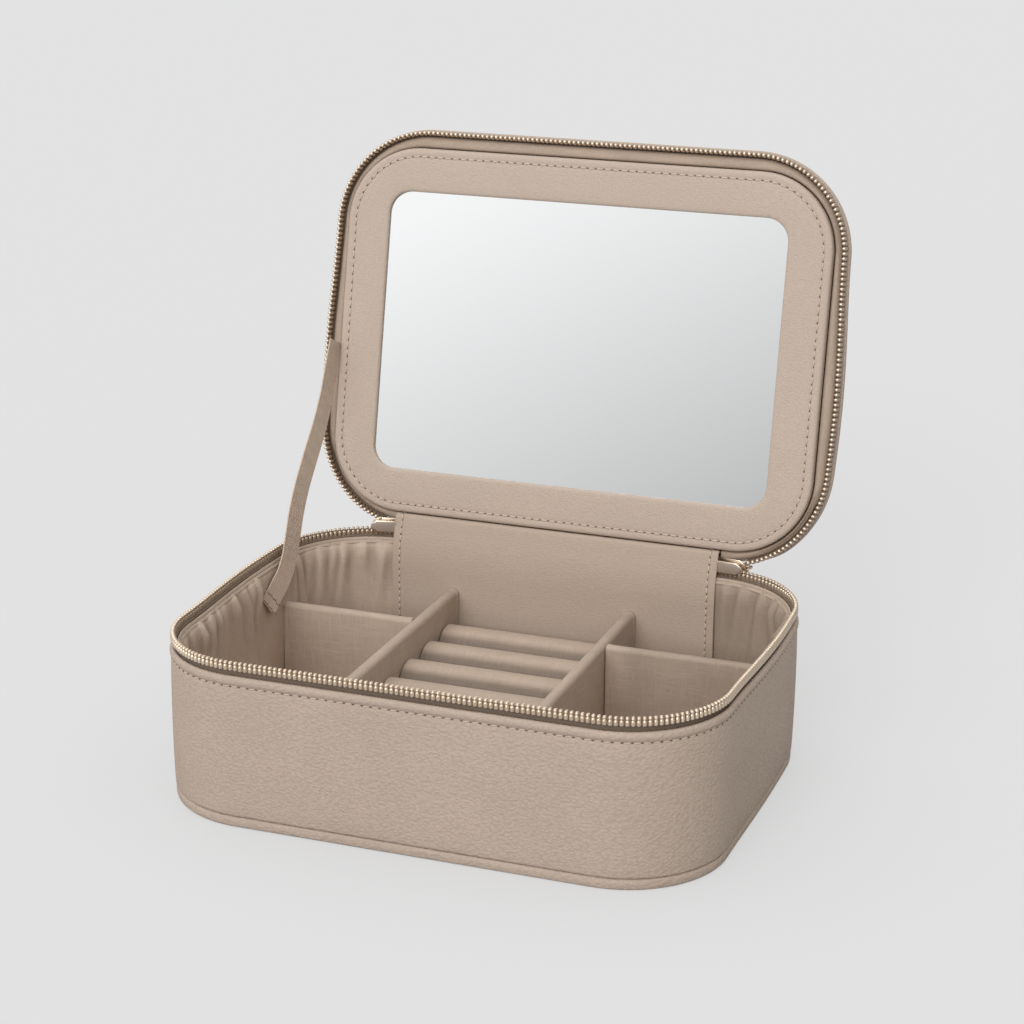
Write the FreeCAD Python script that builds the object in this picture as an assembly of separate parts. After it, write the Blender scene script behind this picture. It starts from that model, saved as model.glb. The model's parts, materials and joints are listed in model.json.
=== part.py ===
import FreeCAD
import Part
import math
import os

Vector = FreeCAD.Vector
X_AXIS = Vector(1, 0, 0)
Z_AXIS = Vector(0, 0, 1)

# Case body, in millimetres. The origin is the middle of the underside, and the front faces -Y.
case_width = 220.0
case_depth = 167.5
corner_radius = 40.0
rim_height = 61.0
cover_thickness = 1.6
rim_round = 0.6
layer_gap = 0.15
seat_gap = 0.2
overrun = 5.0
flat_tolerance = 1e-6

# Bottom panel with its turned-up lip, and the floor above it
bottom_inset = 0.3
bottom_lip_height = 4.4
bottom_thickness = 1.6
bottom_edge_round = 1.4
bottom_seam_gap = 0.25
floor_board_thickness = 2.0
floor_pad_thickness = 2.0

# Wall board, facing strip and gathered lining inside the cover
wall_board_thickness = 2.0
wall_board_drop = 6.0
facing_thickness = 1.0
facing_drop = 0.6
lining_thickness = 1.1
lining_drop = 3.6
lining_folds = 7
lining_fold_depth = 0.9

# Zip round the front, the sides and the back corners
zip_stand = 6.3
zip_line_inset = 2.1
tape_thickness = 0.7
tape_tuck = 5.5
tape_edge_drop = 1.7
tape_end_run = 0.6
tooth_pitch = 2.0
tooth_width = 1.1
tooth_thickness = 2.4
tooth_height = 3.8
tooth_tip_gap = 0.6
tooth_slot_gap = 0.12
stop_length = 1.4
stop_gap = 0.5

# Zip sliders with a bail for the pull, and the pulls
slider_length = 10.8
slider_height = 6.6
slider_plate = 0.8
slider_clearance = 0.6
slider_tip_length = 2.6
slider_tip_height = 2.2
slider_web_thickness = 0.5
slider_web_length = 3.0
slider_stop_gap = 0.5
bail_radius = 0.6
bail_reach = 2.3
bail_half_span = 1.9
bail_post_width = 1.0
pull_eye_wall = 0.9
pull_eye_gap = 0.3
pull_side_gap = 0.4
pull_thickness = 1.2
pull_width = 6.0
pull_length = 24.0
pull_neck_length = 3.0
pull_shoulder_length = 2.0
pull_end_radius = 1.6

# Hinge line of the lid, and how far the lid stands open
hinge_rise = 1.1
hinge_inset = 1.25
lid_open_angle = 101.7

# Lid, measured in depth from the plane where the two zip halves meet
lid_inset = 2.0
lid_cover_thickness = 1.4
lid_rim_stand = 6.2
lid_wall_height = 0.8
lid_edge_round = 11.0
lid_board_thickness = 1.8
lid_board_margin = 2.0
lid_pad_margin = 4.4
lid_tape_step = 5.2
lid_tape_gap = 0.3
lid_tape_tuck = 1.2
gusset_gap = 0.25
gusset_clearance = 0.5
gusset_round = 0.35

# Mirror with its padded frame and backing board
frame_side_margin = 5.5
frame_front_margin = 7.5
frame_back_margin = 6.5
frame_corner_inset = 8.5
frame_front = 0.2
frame_lip = 1.6
frame_outer_round = 1.2
frame_inner_round = 0.5
mirror_side_border = 19.5
mirror_end_border = 19.25
opening_radius = 9.5
glass_overlap = 3.0
glass_thickness = 2.0
glass_gap = 0.4
backing_thickness = 2.0
backing_margin = 1.0

# Inner hinge panel and outer hinge strap
panel_side_reach = 0.25
panel_thickness = 1.2
panel_gap = 0.15
panel_bend_drop = 3.0
panel_bend_radius = 7.0
panel_fold_radius = 1.4
panel_tuck = 3.4
panel_lead = 0.4
strap_side_reach = 0.25
strap_thickness = 1.2
strap_bend_radius = 2.2
strap_base_length = 30.0
strap_lid_length = 4.0

# Dividers and ring rolls
divider_height = 38.2
divider_thickness = 5.0
divider_spacing = 78.3
divider_shift = -6.2
divider_top_round = 2.3
cross_corner_gap = 2.15
cross_thickness = 4.6
cross_drop = 0.6
roll_pitch = 21.2
roll_width = 20.6
roll_height = 27.6
roll_first_back_gap = 5.6
roll_end_round = 2.5

# Ribbon that stops the lid
ribbon_width = 10.0
ribbon_thickness = 0.6
ribbon_base_y = 20.0
ribbon_base_drop = 15.5
ribbon_lid_y = 6.0
ribbon_lid_depth = 3.5
ribbon_lead = 0.75

# Heights and half sizes that follow from the sizes above
half_width = case_width / 2
half_depth = case_depth / 2
corner_x = half_width - corner_radius
corner_y = half_depth - corner_radius
zip_height = rim_height + zip_stand
hinge_point = Vector(0, half_depth - hinge_inset, zip_height + hinge_rise)
cover_low = bottom_lip_height + bottom_seam_gap
floor_board_low = bottom_thickness + layer_gap
floor_pad_low = floor_board_low + floor_board_thickness + layer_gap
floor_top = floor_pad_low + floor_pad_thickness
insert_low = floor_top + layer_gap
wall_board_inset = cover_thickness + layer_gap
wall_board_inner = wall_board_inset + wall_board_thickness
tape_low = rim_height - tape_tuck
tape_outer = zip_line_inset - tape_thickness / 2
tape_inner = zip_line_inset + tape_thickness / 2
facing_inset = tape_inner + layer_gap
lining_inset = max(wall_board_inner, facing_inset + facing_thickness) + layer_gap
lining_inner = lining_inset + lining_thickness
lining_top = rim_height - lining_drop
inner_x = half_width - lining_inner
inner_y = half_depth - lining_inner
zip_radius = corner_radius - zip_line_inset
divider_x = divider_spacing / 2
cross_place = corner_y - cross_corner_gap - cross_thickness / 2
panel_width = 2 * (corner_x + panel_side_reach)
panel_front = inner_y - panel_gap - panel_thickness
strap_width = 2 * (corner_x + strap_side_reach)
roll_room = panel_front - roll_first_back_gap + inner_y + roll_pitch - roll_width
roll_count = int(roll_room / roll_pitch)
lid_depth = lid_rim_stand + lid_wall_height + lid_edge_round
frame_width = case_width - 2 * frame_side_margin
frame_depth = case_depth - frame_front_margin - frame_back_margin
frame_radius = corner_radius - frame_corner_inset
frame_shift = (frame_front_margin - frame_back_margin) / 2
frame_back = frame_front + frame_lip + glass_thickness + layer_gap
frame_back_edge = frame_shift + frame_depth / 2
opening_width = frame_width - 2 * mirror_side_border
opening_depth = frame_depth - 2 * mirror_end_border
backing_low = frame_back + layer_gap
backing_high = backing_low + backing_thickness
lid_board_high = lid_depth - lid_cover_thickness - layer_gap
lid_board_low = lid_board_high - lid_board_thickness
lid_sewn_inset = lid_inset + lid_cover_thickness + lid_tape_gap
slider_mouth = tooth_thickness + 2 * slider_clearance
slider_start = tape_end_run + stop_length + stop_gap + slider_stop_gap
slider_turn = math.degrees(math.asin((slider_start + slider_length / 2) / zip_radius))
slider_end_turn = slider_turn + math.degrees(math.asin(slider_length / 2 / zip_radius))
lid_zip_turn = slider_end_turn + math.degrees(tooth_pitch / zip_radius)


def polar(centre, radius, angle):
    """Point at an angle in degrees round a centre, at the centre's height."""
    turn = math.radians(angle)
    return centre + Vector(radius * math.cos(turn), radius * math.sin(turn), 0)


def corner_arcs(centre, radius, first_angle, folds, fold_depth):
    """Arcs that share a quarter turn, each drawn in towards the centre at its middle."""
    step = 90.0 / folds
    arcs = []
    for fold in range(folds):
        start = first_angle + fold * step
        arcs.append(Part.Arc(polar(centre, radius, start),
                             polar(centre, radius - fold_depth, start + step / 2),
                             polar(centre, radius, start + step)).toShape())
    return arcs


def rounded_outline(width, depth, radius, height, middle_y=0.0, folds=1, fold_depth=0.0):
    """Closed wire of a rectangle with round corners, flat at one height."""
    reach_x = width / 2 - radius
    reach_y = depth / 2 - radius
    edges = []
    for quarter, (side_x, side_y) in enumerate(((1, 1), (-1, 1), (-1, -1), (1, -1))):
        centre = Vector(side_x * reach_x, middle_y + side_y * reach_y, height)
        arcs = corner_arcs(centre, radius, 90.0 * quarter, folds, fold_depth)
        if edges:
            edges.append(Part.makeLine(edges[-1].lastVertex().Point, arcs[0].firstVertex().Point))
        edges += arcs
    edges.append(Part.makeLine(edges[-1].lastVertex().Point, edges[0].firstVertex().Point))
    return Part.Wire(edges)


def rounded_plate(width, depth, radius, low, high, middle_y=0.0):
    """Plate with round corners between two heights."""
    outline = rounded_outline(width, depth, radius, low, middle_y)
    return Part.Face(outline).extrude(Vector(0, 0, high - low))


def case_outline(inset, height, folds=1, fold_depth=0.0):
    """The case's outline drawn in all round."""
    return rounded_outline(case_width - 2 * inset, case_depth - 2 * inset, corner_radius - inset,
                           height, 0.0, folds, fold_depth)


def case_plate(inset, low, high):
    """Plate that follows the case's outline, drawn in all round."""
    return Part.Face(case_outline(inset, low)).extrude(Vector(0, 0, high - low))


def case_ring(outer_inset, inner_inset, low, high):
    """Upright wall that follows the case's outline."""
    return case_plate(outer_inset, low, high).cut(case_plate(inner_inset, low, high))


def block(low, high):
    """Box between two opposite corners."""
    size = high - low
    return Part.makeBox(size.x, size.y, size.z, low)


def edges_at(shape, height):
    """Edges of a shape that lie flat at one height."""
    return [edge for edge in shape.Edges
            if abs(edge.BoundBox.ZMin - height) < flat_tolerance
            and abs(edge.BoundBox.ZMax - height) < flat_tolerance]


def above_zip(depth):
    """Height of a depth in the lid while the lid is shut."""
    return zip_height + depth


def opened(shape):
    """A piece of the lid, turned from shut to open."""
    return shape.rotated(hinge_point, X_AXIS, -lid_open_angle)


def opened_point(point):
    """A point of the lid, turned from shut to open."""
    return opened(Part.Vertex(point)).Point


def mirrored(shape):
    """The same piece on the other side of the case."""
    return shape.mirror(Vector(0, 0, 0), X_AXIS)


def back_block(half_span, low, high):
    """Box over the back of the case, for gaps in what runs round it."""
    return block(Vector(-half_span, 0, low), Vector(half_span, case_depth, high))


# Base: covers, boards and lining

def base_side_cover():
    """Leather wall of the base with a softly turned top edge."""
    wall = case_ring(0, cover_thickness, cover_low, rim_height)
    return wall.makeFillet(rim_round, edges_at(wall, rim_height))


def base_bottom_panel():
    """Leather bottom, turned up all round to the seam."""
    tray = case_plate(bottom_inset, 0, bottom_lip_height)
    tray = tray.makeFillet(bottom_edge_round, edges_at(tray, 0))
    return tray.cut(case_plate(bottom_inset + cover_thickness, bottom_thickness, rim_height))


def base_floor_board():
    """Stiff board that lies in the bottom panel."""
    inset = bottom_inset + cover_thickness + seat_gap
    return case_plate(inset, floor_board_low, floor_board_low + floor_board_thickness)


def base_wall_board():
    """Stiff board that stands inside the leather wall."""
    return case_ring(wall_board_inset, wall_board_inner, cover_low, rim_height - wall_board_drop)


def base_facing_strip():
    """Strip sewn over the tape inside the rim."""
    low = rim_height - wall_board_drop + layer_gap
    strip = case_ring(facing_inset, facing_inset + facing_thickness, low, rim_height - facing_drop)
    return strip.cut(back_block(panel_width / 2 + seat_gap, low, zip_height))


def base_wall_lining():
    """Fabric lining of the walls, gathered into upright folds at the corners."""
    skin = case_plate(lining_inset, insert_low, lining_top)
    foot = case_outline(lining_inner, insert_low, lining_folds, 0.0)
    head = case_outline(lining_inner, lining_top, lining_folds, lining_fold_depth)
    return skin.cut(Part.makeLoft([foot, head], True, True))


def floor_pad():
    """Lined pad on the floor of the base."""
    return case_plate(wall_board_inner + seat_gap, floor_pad_low, floor_top)


# Base: dividers and ring rolls

def long_divider(side):
    """Upright panel that runs from front to back, wrapped over a round top."""
    middle = divider_shift + side * divider_x
    low = Vector(middle - divider_thickness / 2, seat_gap - inner_y, insert_low)
    high = Vector(middle + divider_thickness / 2, panel_front - seat_gap, insert_low + divider_height)
    panel = block(low, high)
    top = [edge for edge in edges_at(panel, high.z) if edge.BoundBox.YLength > edge.BoundBox.XLength]
    return panel.makeFillet(divider_top_round, top)


def cross_divider(side):
    """Upright panel between a long divider and the side wall."""
    near = divider_shift + side * (divider_x + divider_thickness / 2 + seat_gap)
    far = side * (inner_x - seat_gap)
    low = Vector(min(near, far), cross_place - cross_thickness / 2, insert_low)
    high = Vector(max(near, far), cross_place + cross_thickness / 2,
                  insert_low + divider_height - cross_drop)
    panel = block(low, high)
    top = [edge for edge in edges_at(panel, high.z) if edge.BoundBox.XLength > edge.BoundBox.YLength]
    return panel.makeFillet(min(divider_top_round, cross_thickness / 2 - layer_gap), top)


def ring_roll(place):
    """Foam roll with a half-round crown and drawn-in ends; rings are held between two rolls."""
    middle = panel_front - roll_first_back_gap - roll_width / 2 - place * roll_pitch
    reach = divider_x - divider_thickness / 2 - seat_gap
    left = divider_shift - reach
    radius = roll_width / 2
    shoulder = insert_low + roll_height - radius
    foot = [Vector(left, middle + side * radius, insert_low) for side in (-1, 1)]
    head = [Vector(left, middle + side * radius, shoulder) for side in (-1, 1)]
    crown = Vector(left, middle, insert_low + roll_height)
    slope = radius * math.sqrt(0.5)
    knees = [Vector(left, middle + side * slope, shoulder + slope) for side in (-1, 1)]
    edges = [Part.makeLine(foot[0], foot[1]), Part.makeLine(foot[1], head[1]),
             Part.Arc(head[1], knees[1], crown).toShape(), Part.Arc(crown, knees[0], head[0]).toShape(),
             Part.makeLine(head[0], foot[0])]
    roll = Part.Face(Part.Wire(edges)).extrude(Vector(2 * reach, 0, 0))
    ends = [edge for edge in roll.Edges if edge.BoundBox.XLength < layer_gap
            and edge.BoundBox.ZMax > insert_low + layer_gap]
    return roll.makeFillet(roll_end_round, ends)


# Zip: tapes, teeth and end stops

def zip_station(first_turn, travel):
    """Place and turn on the zip line at a length from its right-hand end, clockwise from above."""
    quarter = math.pi / 2 * zip_radius
    runs = (("arc", quarter - math.radians(first_turn) * zip_radius, first_turn, 1, 1),
            ("line", 2 * corner_y, 90.0, 1, 1), ("arc", quarter, 90.0, 1, -1),
            ("line", 2 * corner_x, 180.0, 1, -1), ("arc", quarter, 180.0, -1, -1),
            ("line", 2 * corner_y, 270.0, -1, -1),
            ("arc", quarter - math.radians(first_turn) * zip_radius, 270.0, -1, 1))
    left = travel
    for kind, length, turn, side_x, side_y in runs:
        if left <= length:
            break
        left -= length
    centre = Vector(side_x * corner_x, side_y * corner_y, 0)
    if kind == "arc":
        turn += math.degrees(left / zip_radius)
        return polar(centre, zip_radius, 90.0 - turn), turn
    start = polar(centre, zip_radius, 90.0 - turn)
    return start + polar(Vector(0, 0, 0), left, -turn), turn


def zip_length(first_turn):
    """Length of the zip line between its two ends."""
    turned = 2 * math.radians(180.0 - first_turn) * zip_radius
    return turned + 4 * corner_y + 2 * corner_x


def tooth(tip, foot, edge):
    """One zip tooth that grips the tape's edge, from its tip to its feet, standing at the origin."""
    slot = tape_thickness / 2 + tooth_slot_gap
    side = tooth_thickness / 2
    crotch = edge + math.copysign(tooth_slot_gap, tip - foot)
    points = [Vector(0, -side, tip), Vector(0, side, tip), Vector(0, side, foot), Vector(0, slot, foot),
              Vector(0, slot, crotch), Vector(0, -slot, crotch), Vector(0, -slot, foot),
              Vector(0, -side, foot)]
    profile = Part.Face(Part.makePolygon(points + points[:1]))
    return profile.extrude(Vector(tooth_width, 0, 0)).translated(Vector(-tooth_width / 2, 0, 0))


def zip_teeth(first_turn, tip, foot, edge):
    """Row of teeth at an even pitch along the zip line."""
    length = zip_length(first_turn)
    count = int(length / tooth_pitch)
    one = tooth(tip, foot, edge)
    row = []
    for place in range(count):
        point, turn = zip_station(first_turn, (place + 0.5) * length / count)
        row.append(one.rotated(Vector(0, 0, 0), Z_AXIS, -turn).translated(point))
    return Part.makeCompound(row)


def base_zip_tape():
    """Woven tape that stands out of the base's rim."""
    tape = case_ring(tape_outer, tape_inner, tape_low, zip_height - tape_edge_drop)
    return tape.cut(back_block(corner_x + tape_end_run, tape_low, zip_height))


def base_zip_teeth():
    """The base's row of teeth, from one end stop to the other."""
    first_turn = math.degrees((tape_end_run + stop_length + stop_gap) / zip_radius)
    tip = zip_height - tooth_tip_gap
    return zip_teeth(first_turn, tip, tip - tooth_height, zip_height - tape_edge_drop)


def zip_end_stops():
    """Metal clamp at each end of the base's row of teeth."""
    turn = math.degrees((tape_end_run + stop_length / 2) / zip_radius)
    tip = zip_height - tooth_tip_gap
    clamp = tooth(tip, tip - tooth_height, zip_height - tape_edge_drop)
    stretch = FreeCAD.Matrix()
    stretch.scale(stop_length / tooth_width, 1, 1)
    clamp = clamp.transformGeometry(stretch)
    place = polar(Vector(corner_x, corner_y, 0), zip_radius, 90.0 - turn)
    stop = clamp.rotated(Vector(0, 0, 0), Z_AXIS, -turn).translated(place)
    return Part.makeCompound([mirrored(stop), stop])


def lid_zip_tape():
    """Woven tape that stands out of the lid's rim, stepped in to lie inside the lid's wall."""
    step_high = lid_tape_step + tape_thickness
    sewn_inner = lid_sewn_inset + tape_thickness
    edge = case_ring(tape_outer, tape_inner, above_zip(tape_edge_drop), above_zip(step_high))
    step = case_ring(tape_outer, sewn_inner, above_zip(lid_tape_step), above_zip(step_high))
    sewn = case_ring(lid_sewn_inset, sewn_inner, above_zip(lid_tape_step),
                     above_zip(lid_depth - lid_edge_round + lid_tape_tuck))
    tape = edge.fuse([step, sewn]).removeSplitter()
    half_gap = corner_x + zip_radius * math.sin(math.radians(lid_zip_turn))
    return opened(tape.cut(back_block(half_gap, zip_height, above_zip(lid_depth))))


def lid_zip_teeth():
    """The lid's row of teeth, which starts where the parked sliders end."""
    tip = above_zip(tooth_tip_gap)
    return opened(zip_teeth(lid_zip_turn, tip, tip + tooth_height, above_zip(tape_edge_drop)))


# Zip: sliders and pulls

def parked(shape):
    """A slider's piece, turned from the start of the corner to where it is parked."""
    return shape.rotated(Vector(corner_x, corner_y, 0), Z_AXIS, -slider_turn)


def slider():
    """Right-hand slider: two pointed plates, the web between the rows, and the bail outside."""
    middle = Vector(corner_x, corner_y + zip_radius, zip_height)
    back = -slider_length / 2
    nose = slider_length / 2
    side = slider_height / 2
    tip = slider_tip_height / 2
    corners = ((back, -side), (nose - slider_tip_length, -side), (nose, -tip), (nose, tip),
               (nose - slider_tip_length, side), (back, side))
    plates = []
    for face in (-slider_mouth / 2 - slider_plate, slider_mouth / 2):
        points = [middle + Vector(along, face, up) for along, up in corners]
        plate = Part.Face(Part.makePolygon(points + points[:1])).extrude(Vector(0, slider_plate, 0))
        plates.append(plate)
    web_low = middle + Vector(nose - slider_tip_length - slider_web_length, -slider_mouth / 2,
                              -slider_web_thickness / 2)
    web = block(web_low, web_low + Vector(slider_web_length, slider_mouth, slider_web_thickness))
    outside = slider_mouth / 2 + slider_plate
    bail = bail_half_span + bail_post_width
    pieces = [plates[1], web]
    for post_start in (-bail, bail_half_span):
        low = middle + Vector(post_start, outside, -bail_radius)
        pieces.append(block(low, low + Vector(bail_post_width, bail_reach, 2 * bail_radius)))
    bar_start = middle + Vector(-bail, outside + bail_reach, 0)
    pieces.append(Part.makeCylinder(bail_radius, 2 * bail, bar_start, X_AXIS))
    return parked(plates[0].fuse(pieces).removeSplitter())


def pull():
    """Right-hand pull: a flat tab that hangs from the bail by an eye."""
    pivot = Vector(corner_x, corner_y + zip_radius + slider_mouth / 2 + slider_plate + bail_reach,
                   zip_height)
    eye_inner = bail_radius + pull_eye_gap
    eye_outer = eye_inner + pull_eye_wall
    eye_half = bail_half_span - pull_side_gap
    neck_low = -eye_inner - pull_neck_length
    wide_low = neck_low - pull_shoulder_length
    half = pull_width / 2
    end = -pull_length
    corners = ((-eye_half, 0), (-eye_half, neck_low), (-half, wide_low), (-half, end), (half, end),
               (half, wide_low), (eye_half, neck_low), (eye_half, 0))
    points = [pivot + Vector(along, -pull_thickness / 2, up) for along, up in corners]
    tab = Part.Face(Part.makePolygon(points + points[:1])).extrude(Vector(0, pull_thickness, 0))
    ends = [edge for edge in tab.Edges if edge.BoundBox.ZMax < pivot.z + end + layer_gap
            and edge.BoundBox.YLength > layer_gap]
    tab = tab.makeFillet(pull_end_radius, ends)
    eye_start = pivot - Vector(eye_half, 0, 0)
    eye = Part.makeCylinder(eye_outer, 2 * eye_half, eye_start, X_AXIS)
    hole = Part.makeCylinder(eye_inner, 2 * eye_half + 2 * overrun, eye_start - X_AXIS * overrun, X_AXIS)
    return parked(tab.fuse(eye).removeSplitter().cut(hole))


# Hinge: bent leather strips and the ribbon

def bent_strip(points, radii, thickness, width):
    """Strip of even thickness along a bent line in the YZ plane, with round bends, centred on X."""
    runs = [(points[i + 1] - points[i]).normalize() for i in range(len(points) - 1)]
    faces = ([], [])
    for face, side in zip(faces, (1, -1)):
        starts = [points[0]]
        for i, radius in enumerate(radii):
            before, after = runs[i], runs[i + 1]
            hand = math.copysign(1, before.cross(after).x)
            turn = before.getAngle(after)
            lead = radius * math.tan(turn / 2)
            normal = X_AXIS.cross(before) * hand
            centre = points[i + 1] - before * lead + normal * radius
            reach = radius - side * hand * thickness / 2
            halfway = (points[i + 1] - centre).normalize()
            offset = X_AXIS.cross(before) * side * thickness / 2
            first = points[i + 1] - before * lead + offset
            last = points[i + 1] + after * lead + X_AXIS.cross(after) * side * thickness / 2
            face.append(Part.makeLine(starts[-1] + offset if i == 0 else starts[-1], first))
            face.append(Part.Arc(first, centre + halfway * reach, last).toShape())
            starts.append(last)
        face.append(Part.makeLine(starts[-1], points[-1] + X_AXIS.cross(runs[-1]) * side * thickness / 2))
    near, far = faces
    caps = [Part.makeLine(near[0].firstVertex().Point, far[0].firstVertex().Point),
            Part.makeLine(near[-1].lastVertex().Point, far[-1].lastVertex().Point)]
    outline = Part.Wire(Part.__sortEdges__(near + far + caps))
    strip = Part.Face(outline).extrude(Vector(width, 0, 0))
    return strip.translated(Vector(-width / 2, 0, 0))


def hinge_panel():
    """Leather panel from the base's inner back wall up under the edge of the mirror frame."""
    wall_y = panel_front + panel_thickness / 2
    tuck_y = frame_back_edge + panel_lead + panel_thickness / 2
    points = [Vector(0, wall_y, insert_low), Vector(0, wall_y, rim_height - panel_bend_drop),
              opened_point(Vector(0, tuck_y, above_zip(frame_front))),
              opened_point(Vector(0, tuck_y, above_zip(panel_tuck)))]
    return bent_strip(points, (panel_bend_radius, panel_fold_radius), panel_thickness, panel_width)


def hinge_strap():
    """Leather strap outside, from the base's back wall to the underside of the open lid's wall."""
    base_y = half_depth + layer_gap + strap_thickness / 2
    lid_y = half_depth - lid_inset + layer_gap + strap_thickness / 2
    near = opened_point(Vector(0, lid_y, above_zip(lid_rim_stand)))
    far = opened_point(Vector(0, lid_y, above_zip(lid_rim_stand + strap_lid_length)))
    slope = (far.z - near.z) / (far.y - near.y)
    bend = Vector(0, base_y, near.z + slope * (base_y - near.y))
    points = [Vector(0, base_y, rim_height - strap_base_length), bend, far]
    return bent_strip(points, (strap_bend_radius,), strap_thickness, strap_width)


def stay_ribbon():
    """Flat ribbon from the left wall's lining to the lid's left edge, which stops the lid."""
    base_x = layer_gap + ribbon_thickness / 2 - inner_x
    lid_x = -frame_width / 2 - ribbon_lead
    low = Vector(base_x, ribbon_base_y, rim_height - ribbon_base_drop)
    high = opened_point(Vector(lid_x, ribbon_lid_y, above_zip(ribbon_lid_depth)))
    run = (high - low).normalize()
    across = run.cross(X_AXIS).normalize() * (ribbon_width / 2)
    lid_edge = (opened_point(Vector(0, 0, zip_height)) - opened_point(Vector(0, half_depth, zip_height)))
    normal = run.cross(across).normalize()
    lid_edge = lid_edge - normal * lid_edge.dot(normal)
    slant = lid_edge * (across.dot(across) / across.dot(lid_edge))
    points = [low - across, low + across, high + slant, high - slant]
    thick = normal * ribbon_thickness
    return Part.Face(Part.makePolygon(points + points[:1])).extrude(thick).translated(thick * -0.5)


# Lid: cover, boards, mirror and frame

def lid_cover():
    """Leather shell of the lid with a large round edge."""
    low, high = above_zip(lid_rim_stand), above_zip(lid_depth)
    outside = case_plate(lid_inset, low, high)
    outside = outside.makeFillet(lid_edge_round, edges_at(outside, high))
    inside = case_plate(lid_inset + lid_cover_thickness, low, high - lid_cover_thickness)
    inside = inside.makeFillet(lid_edge_round - lid_cover_thickness,
                               edges_at(inside, high - lid_cover_thickness))
    return opened(outside.cut(inside))


def lid_board():
    """Stiff board under the top of the lid."""
    inset = lid_inset + lid_edge_round + lid_board_margin
    return opened(case_plate(inset, above_zip(lid_board_low), above_zip(lid_board_high)))


def lid_padding():
    """Foam that fills the lid between its board and the mirror's backing."""
    inset = lid_inset + lid_cover_thickness + lid_pad_margin
    low, high = above_zip(backing_high + layer_gap), above_zip(lid_board_low - layer_gap)
    return opened(case_plate(inset, low, high))


def framed_plate(width, depth, radius, low, high):
    """Plate centred on the mirror, between two depths in the lid."""
    return rounded_plate(width, depth, radius, above_zip(low), above_zip(high), frame_shift)


def mirror_frame():
    """Leather-covered frame with a rebate behind for the glass."""
    face = above_zip(frame_front)
    frame = framed_plate(frame_width, frame_depth, frame_radius, frame_front, frame_back)
    frame = frame.makeFillet(frame_outer_round, edges_at(frame, face))
    window = framed_plate(opening_width, opening_depth, opening_radius, frame_front, frame_back)
    frame = frame.cut(window)
    mouth = [edge for edge in edges_at(frame, face)
             if edge.CenterOfMass.x ** 2 < (opening_width / 2 + layer_gap) ** 2
             and (edge.CenterOfMass.y - frame_shift) ** 2 < (opening_depth / 2 + layer_gap) ** 2]
    frame = frame.makeFillet(frame_inner_round, mouth)
    spread = 2 * (glass_overlap + glass_gap)
    rebate = framed_plate(opening_width + spread, opening_depth + spread,
                          opening_radius + spread / 2, frame_front + frame_lip, frame_back + overrun)
    return opened(frame.cut(rebate))


def mirror_glass():
    """Mirror glass, held between the frame's lip and the backing."""
    spread = 2 * glass_overlap
    low = frame_front + frame_lip + layer_gap
    return opened(framed_plate(opening_width + spread, opening_depth + spread,
                               opening_radius + glass_overlap, low, low + glass_thickness))


def mirror_backing():
    """Board that carries the glass and the frame."""
    trim = 2 * backing_margin
    return opened(framed_plate(frame_width - trim, frame_depth - trim, frame_radius - backing_margin,
                               backing_low, backing_high))


def lid_gusset():
    """Rolled fabric band that closes the trough between the frame and the teeth."""
    outer = zip_line_inset + tooth_thickness / 2 + gusset_gap
    low, high = above_zip(slider_height / 2 + gusset_clearance), above_zip(lid_tape_step - layer_gap)
    band = case_plate(outer, low, high)
    band = band.cut(rounded_plate(frame_width + 2 * gusset_gap, frame_depth + 2 * gusset_gap,
                                  frame_radius + gusset_gap, low, high, frame_shift))
    band = band.makeFillet(gusset_round, edges_at(band, low))
    return opened(band.cut(back_block(panel_width / 2 + seat_gap, low, high)))


nodes = {
    "base_side_cover": base_side_cover(),
    "base_bottom_panel": base_bottom_panel(),
    "base_floor_board": base_floor_board(),
    "base_wall_board": base_wall_board(),
    "base_facing_strip": base_facing_strip(),
    "base_wall_lining": base_wall_lining(),
    "floor_pad": floor_pad(),
    "left_long_divider": long_divider(-1),
    "right_long_divider": long_divider(1),
    "left_cross_divider": cross_divider(-1),
    "right_cross_divider": cross_divider(1),
    "base_zip_tape": base_zip_tape(),
    "base_zip_teeth": base_zip_teeth(),
    "zip_end_stops": zip_end_stops(),
    "hinge_panel": hinge_panel(),
    "hinge_strap": hinge_strap(),
    "stay_ribbon": stay_ribbon(),
    "lid_cover": lid_cover(),
    "lid_board": lid_board(),
    "lid_padding": lid_padding(),
    "lid_gusset": lid_gusset(),
    "lid_zip_tape": lid_zip_tape(),
    "lid_zip_teeth": lid_zip_teeth(),
    "mirror_frame": mirror_frame(),
    "mirror_glass": mirror_glass(),
    "mirror_backing": mirror_backing(),
    "right_slider": slider(),
    "left_slider": mirrored(slider()),
    "right_pull": pull(),
    "left_pull": mirrored(pull()),
}
for place in range(roll_count):
    nodes[f"ring_roll_{place + 1}"] = ring_roll(place)

os.makedirs("parts", exist_ok=True)
for name, shape in nodes.items():
    shape.exportStep(f"parts/{name}.step")
    print(f"{name}: {len(shape.Solids)} solids, volume {shape.Volume:.1f} mm3, valid {shape.isValid()}")
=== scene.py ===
import json
import math
import random
from collections import namedtuple

import bpy
from bpy.props import FloatProperty, FloatVectorProperty, IntProperty, PointerProperty
from mathutils import Matrix, Vector


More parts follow.
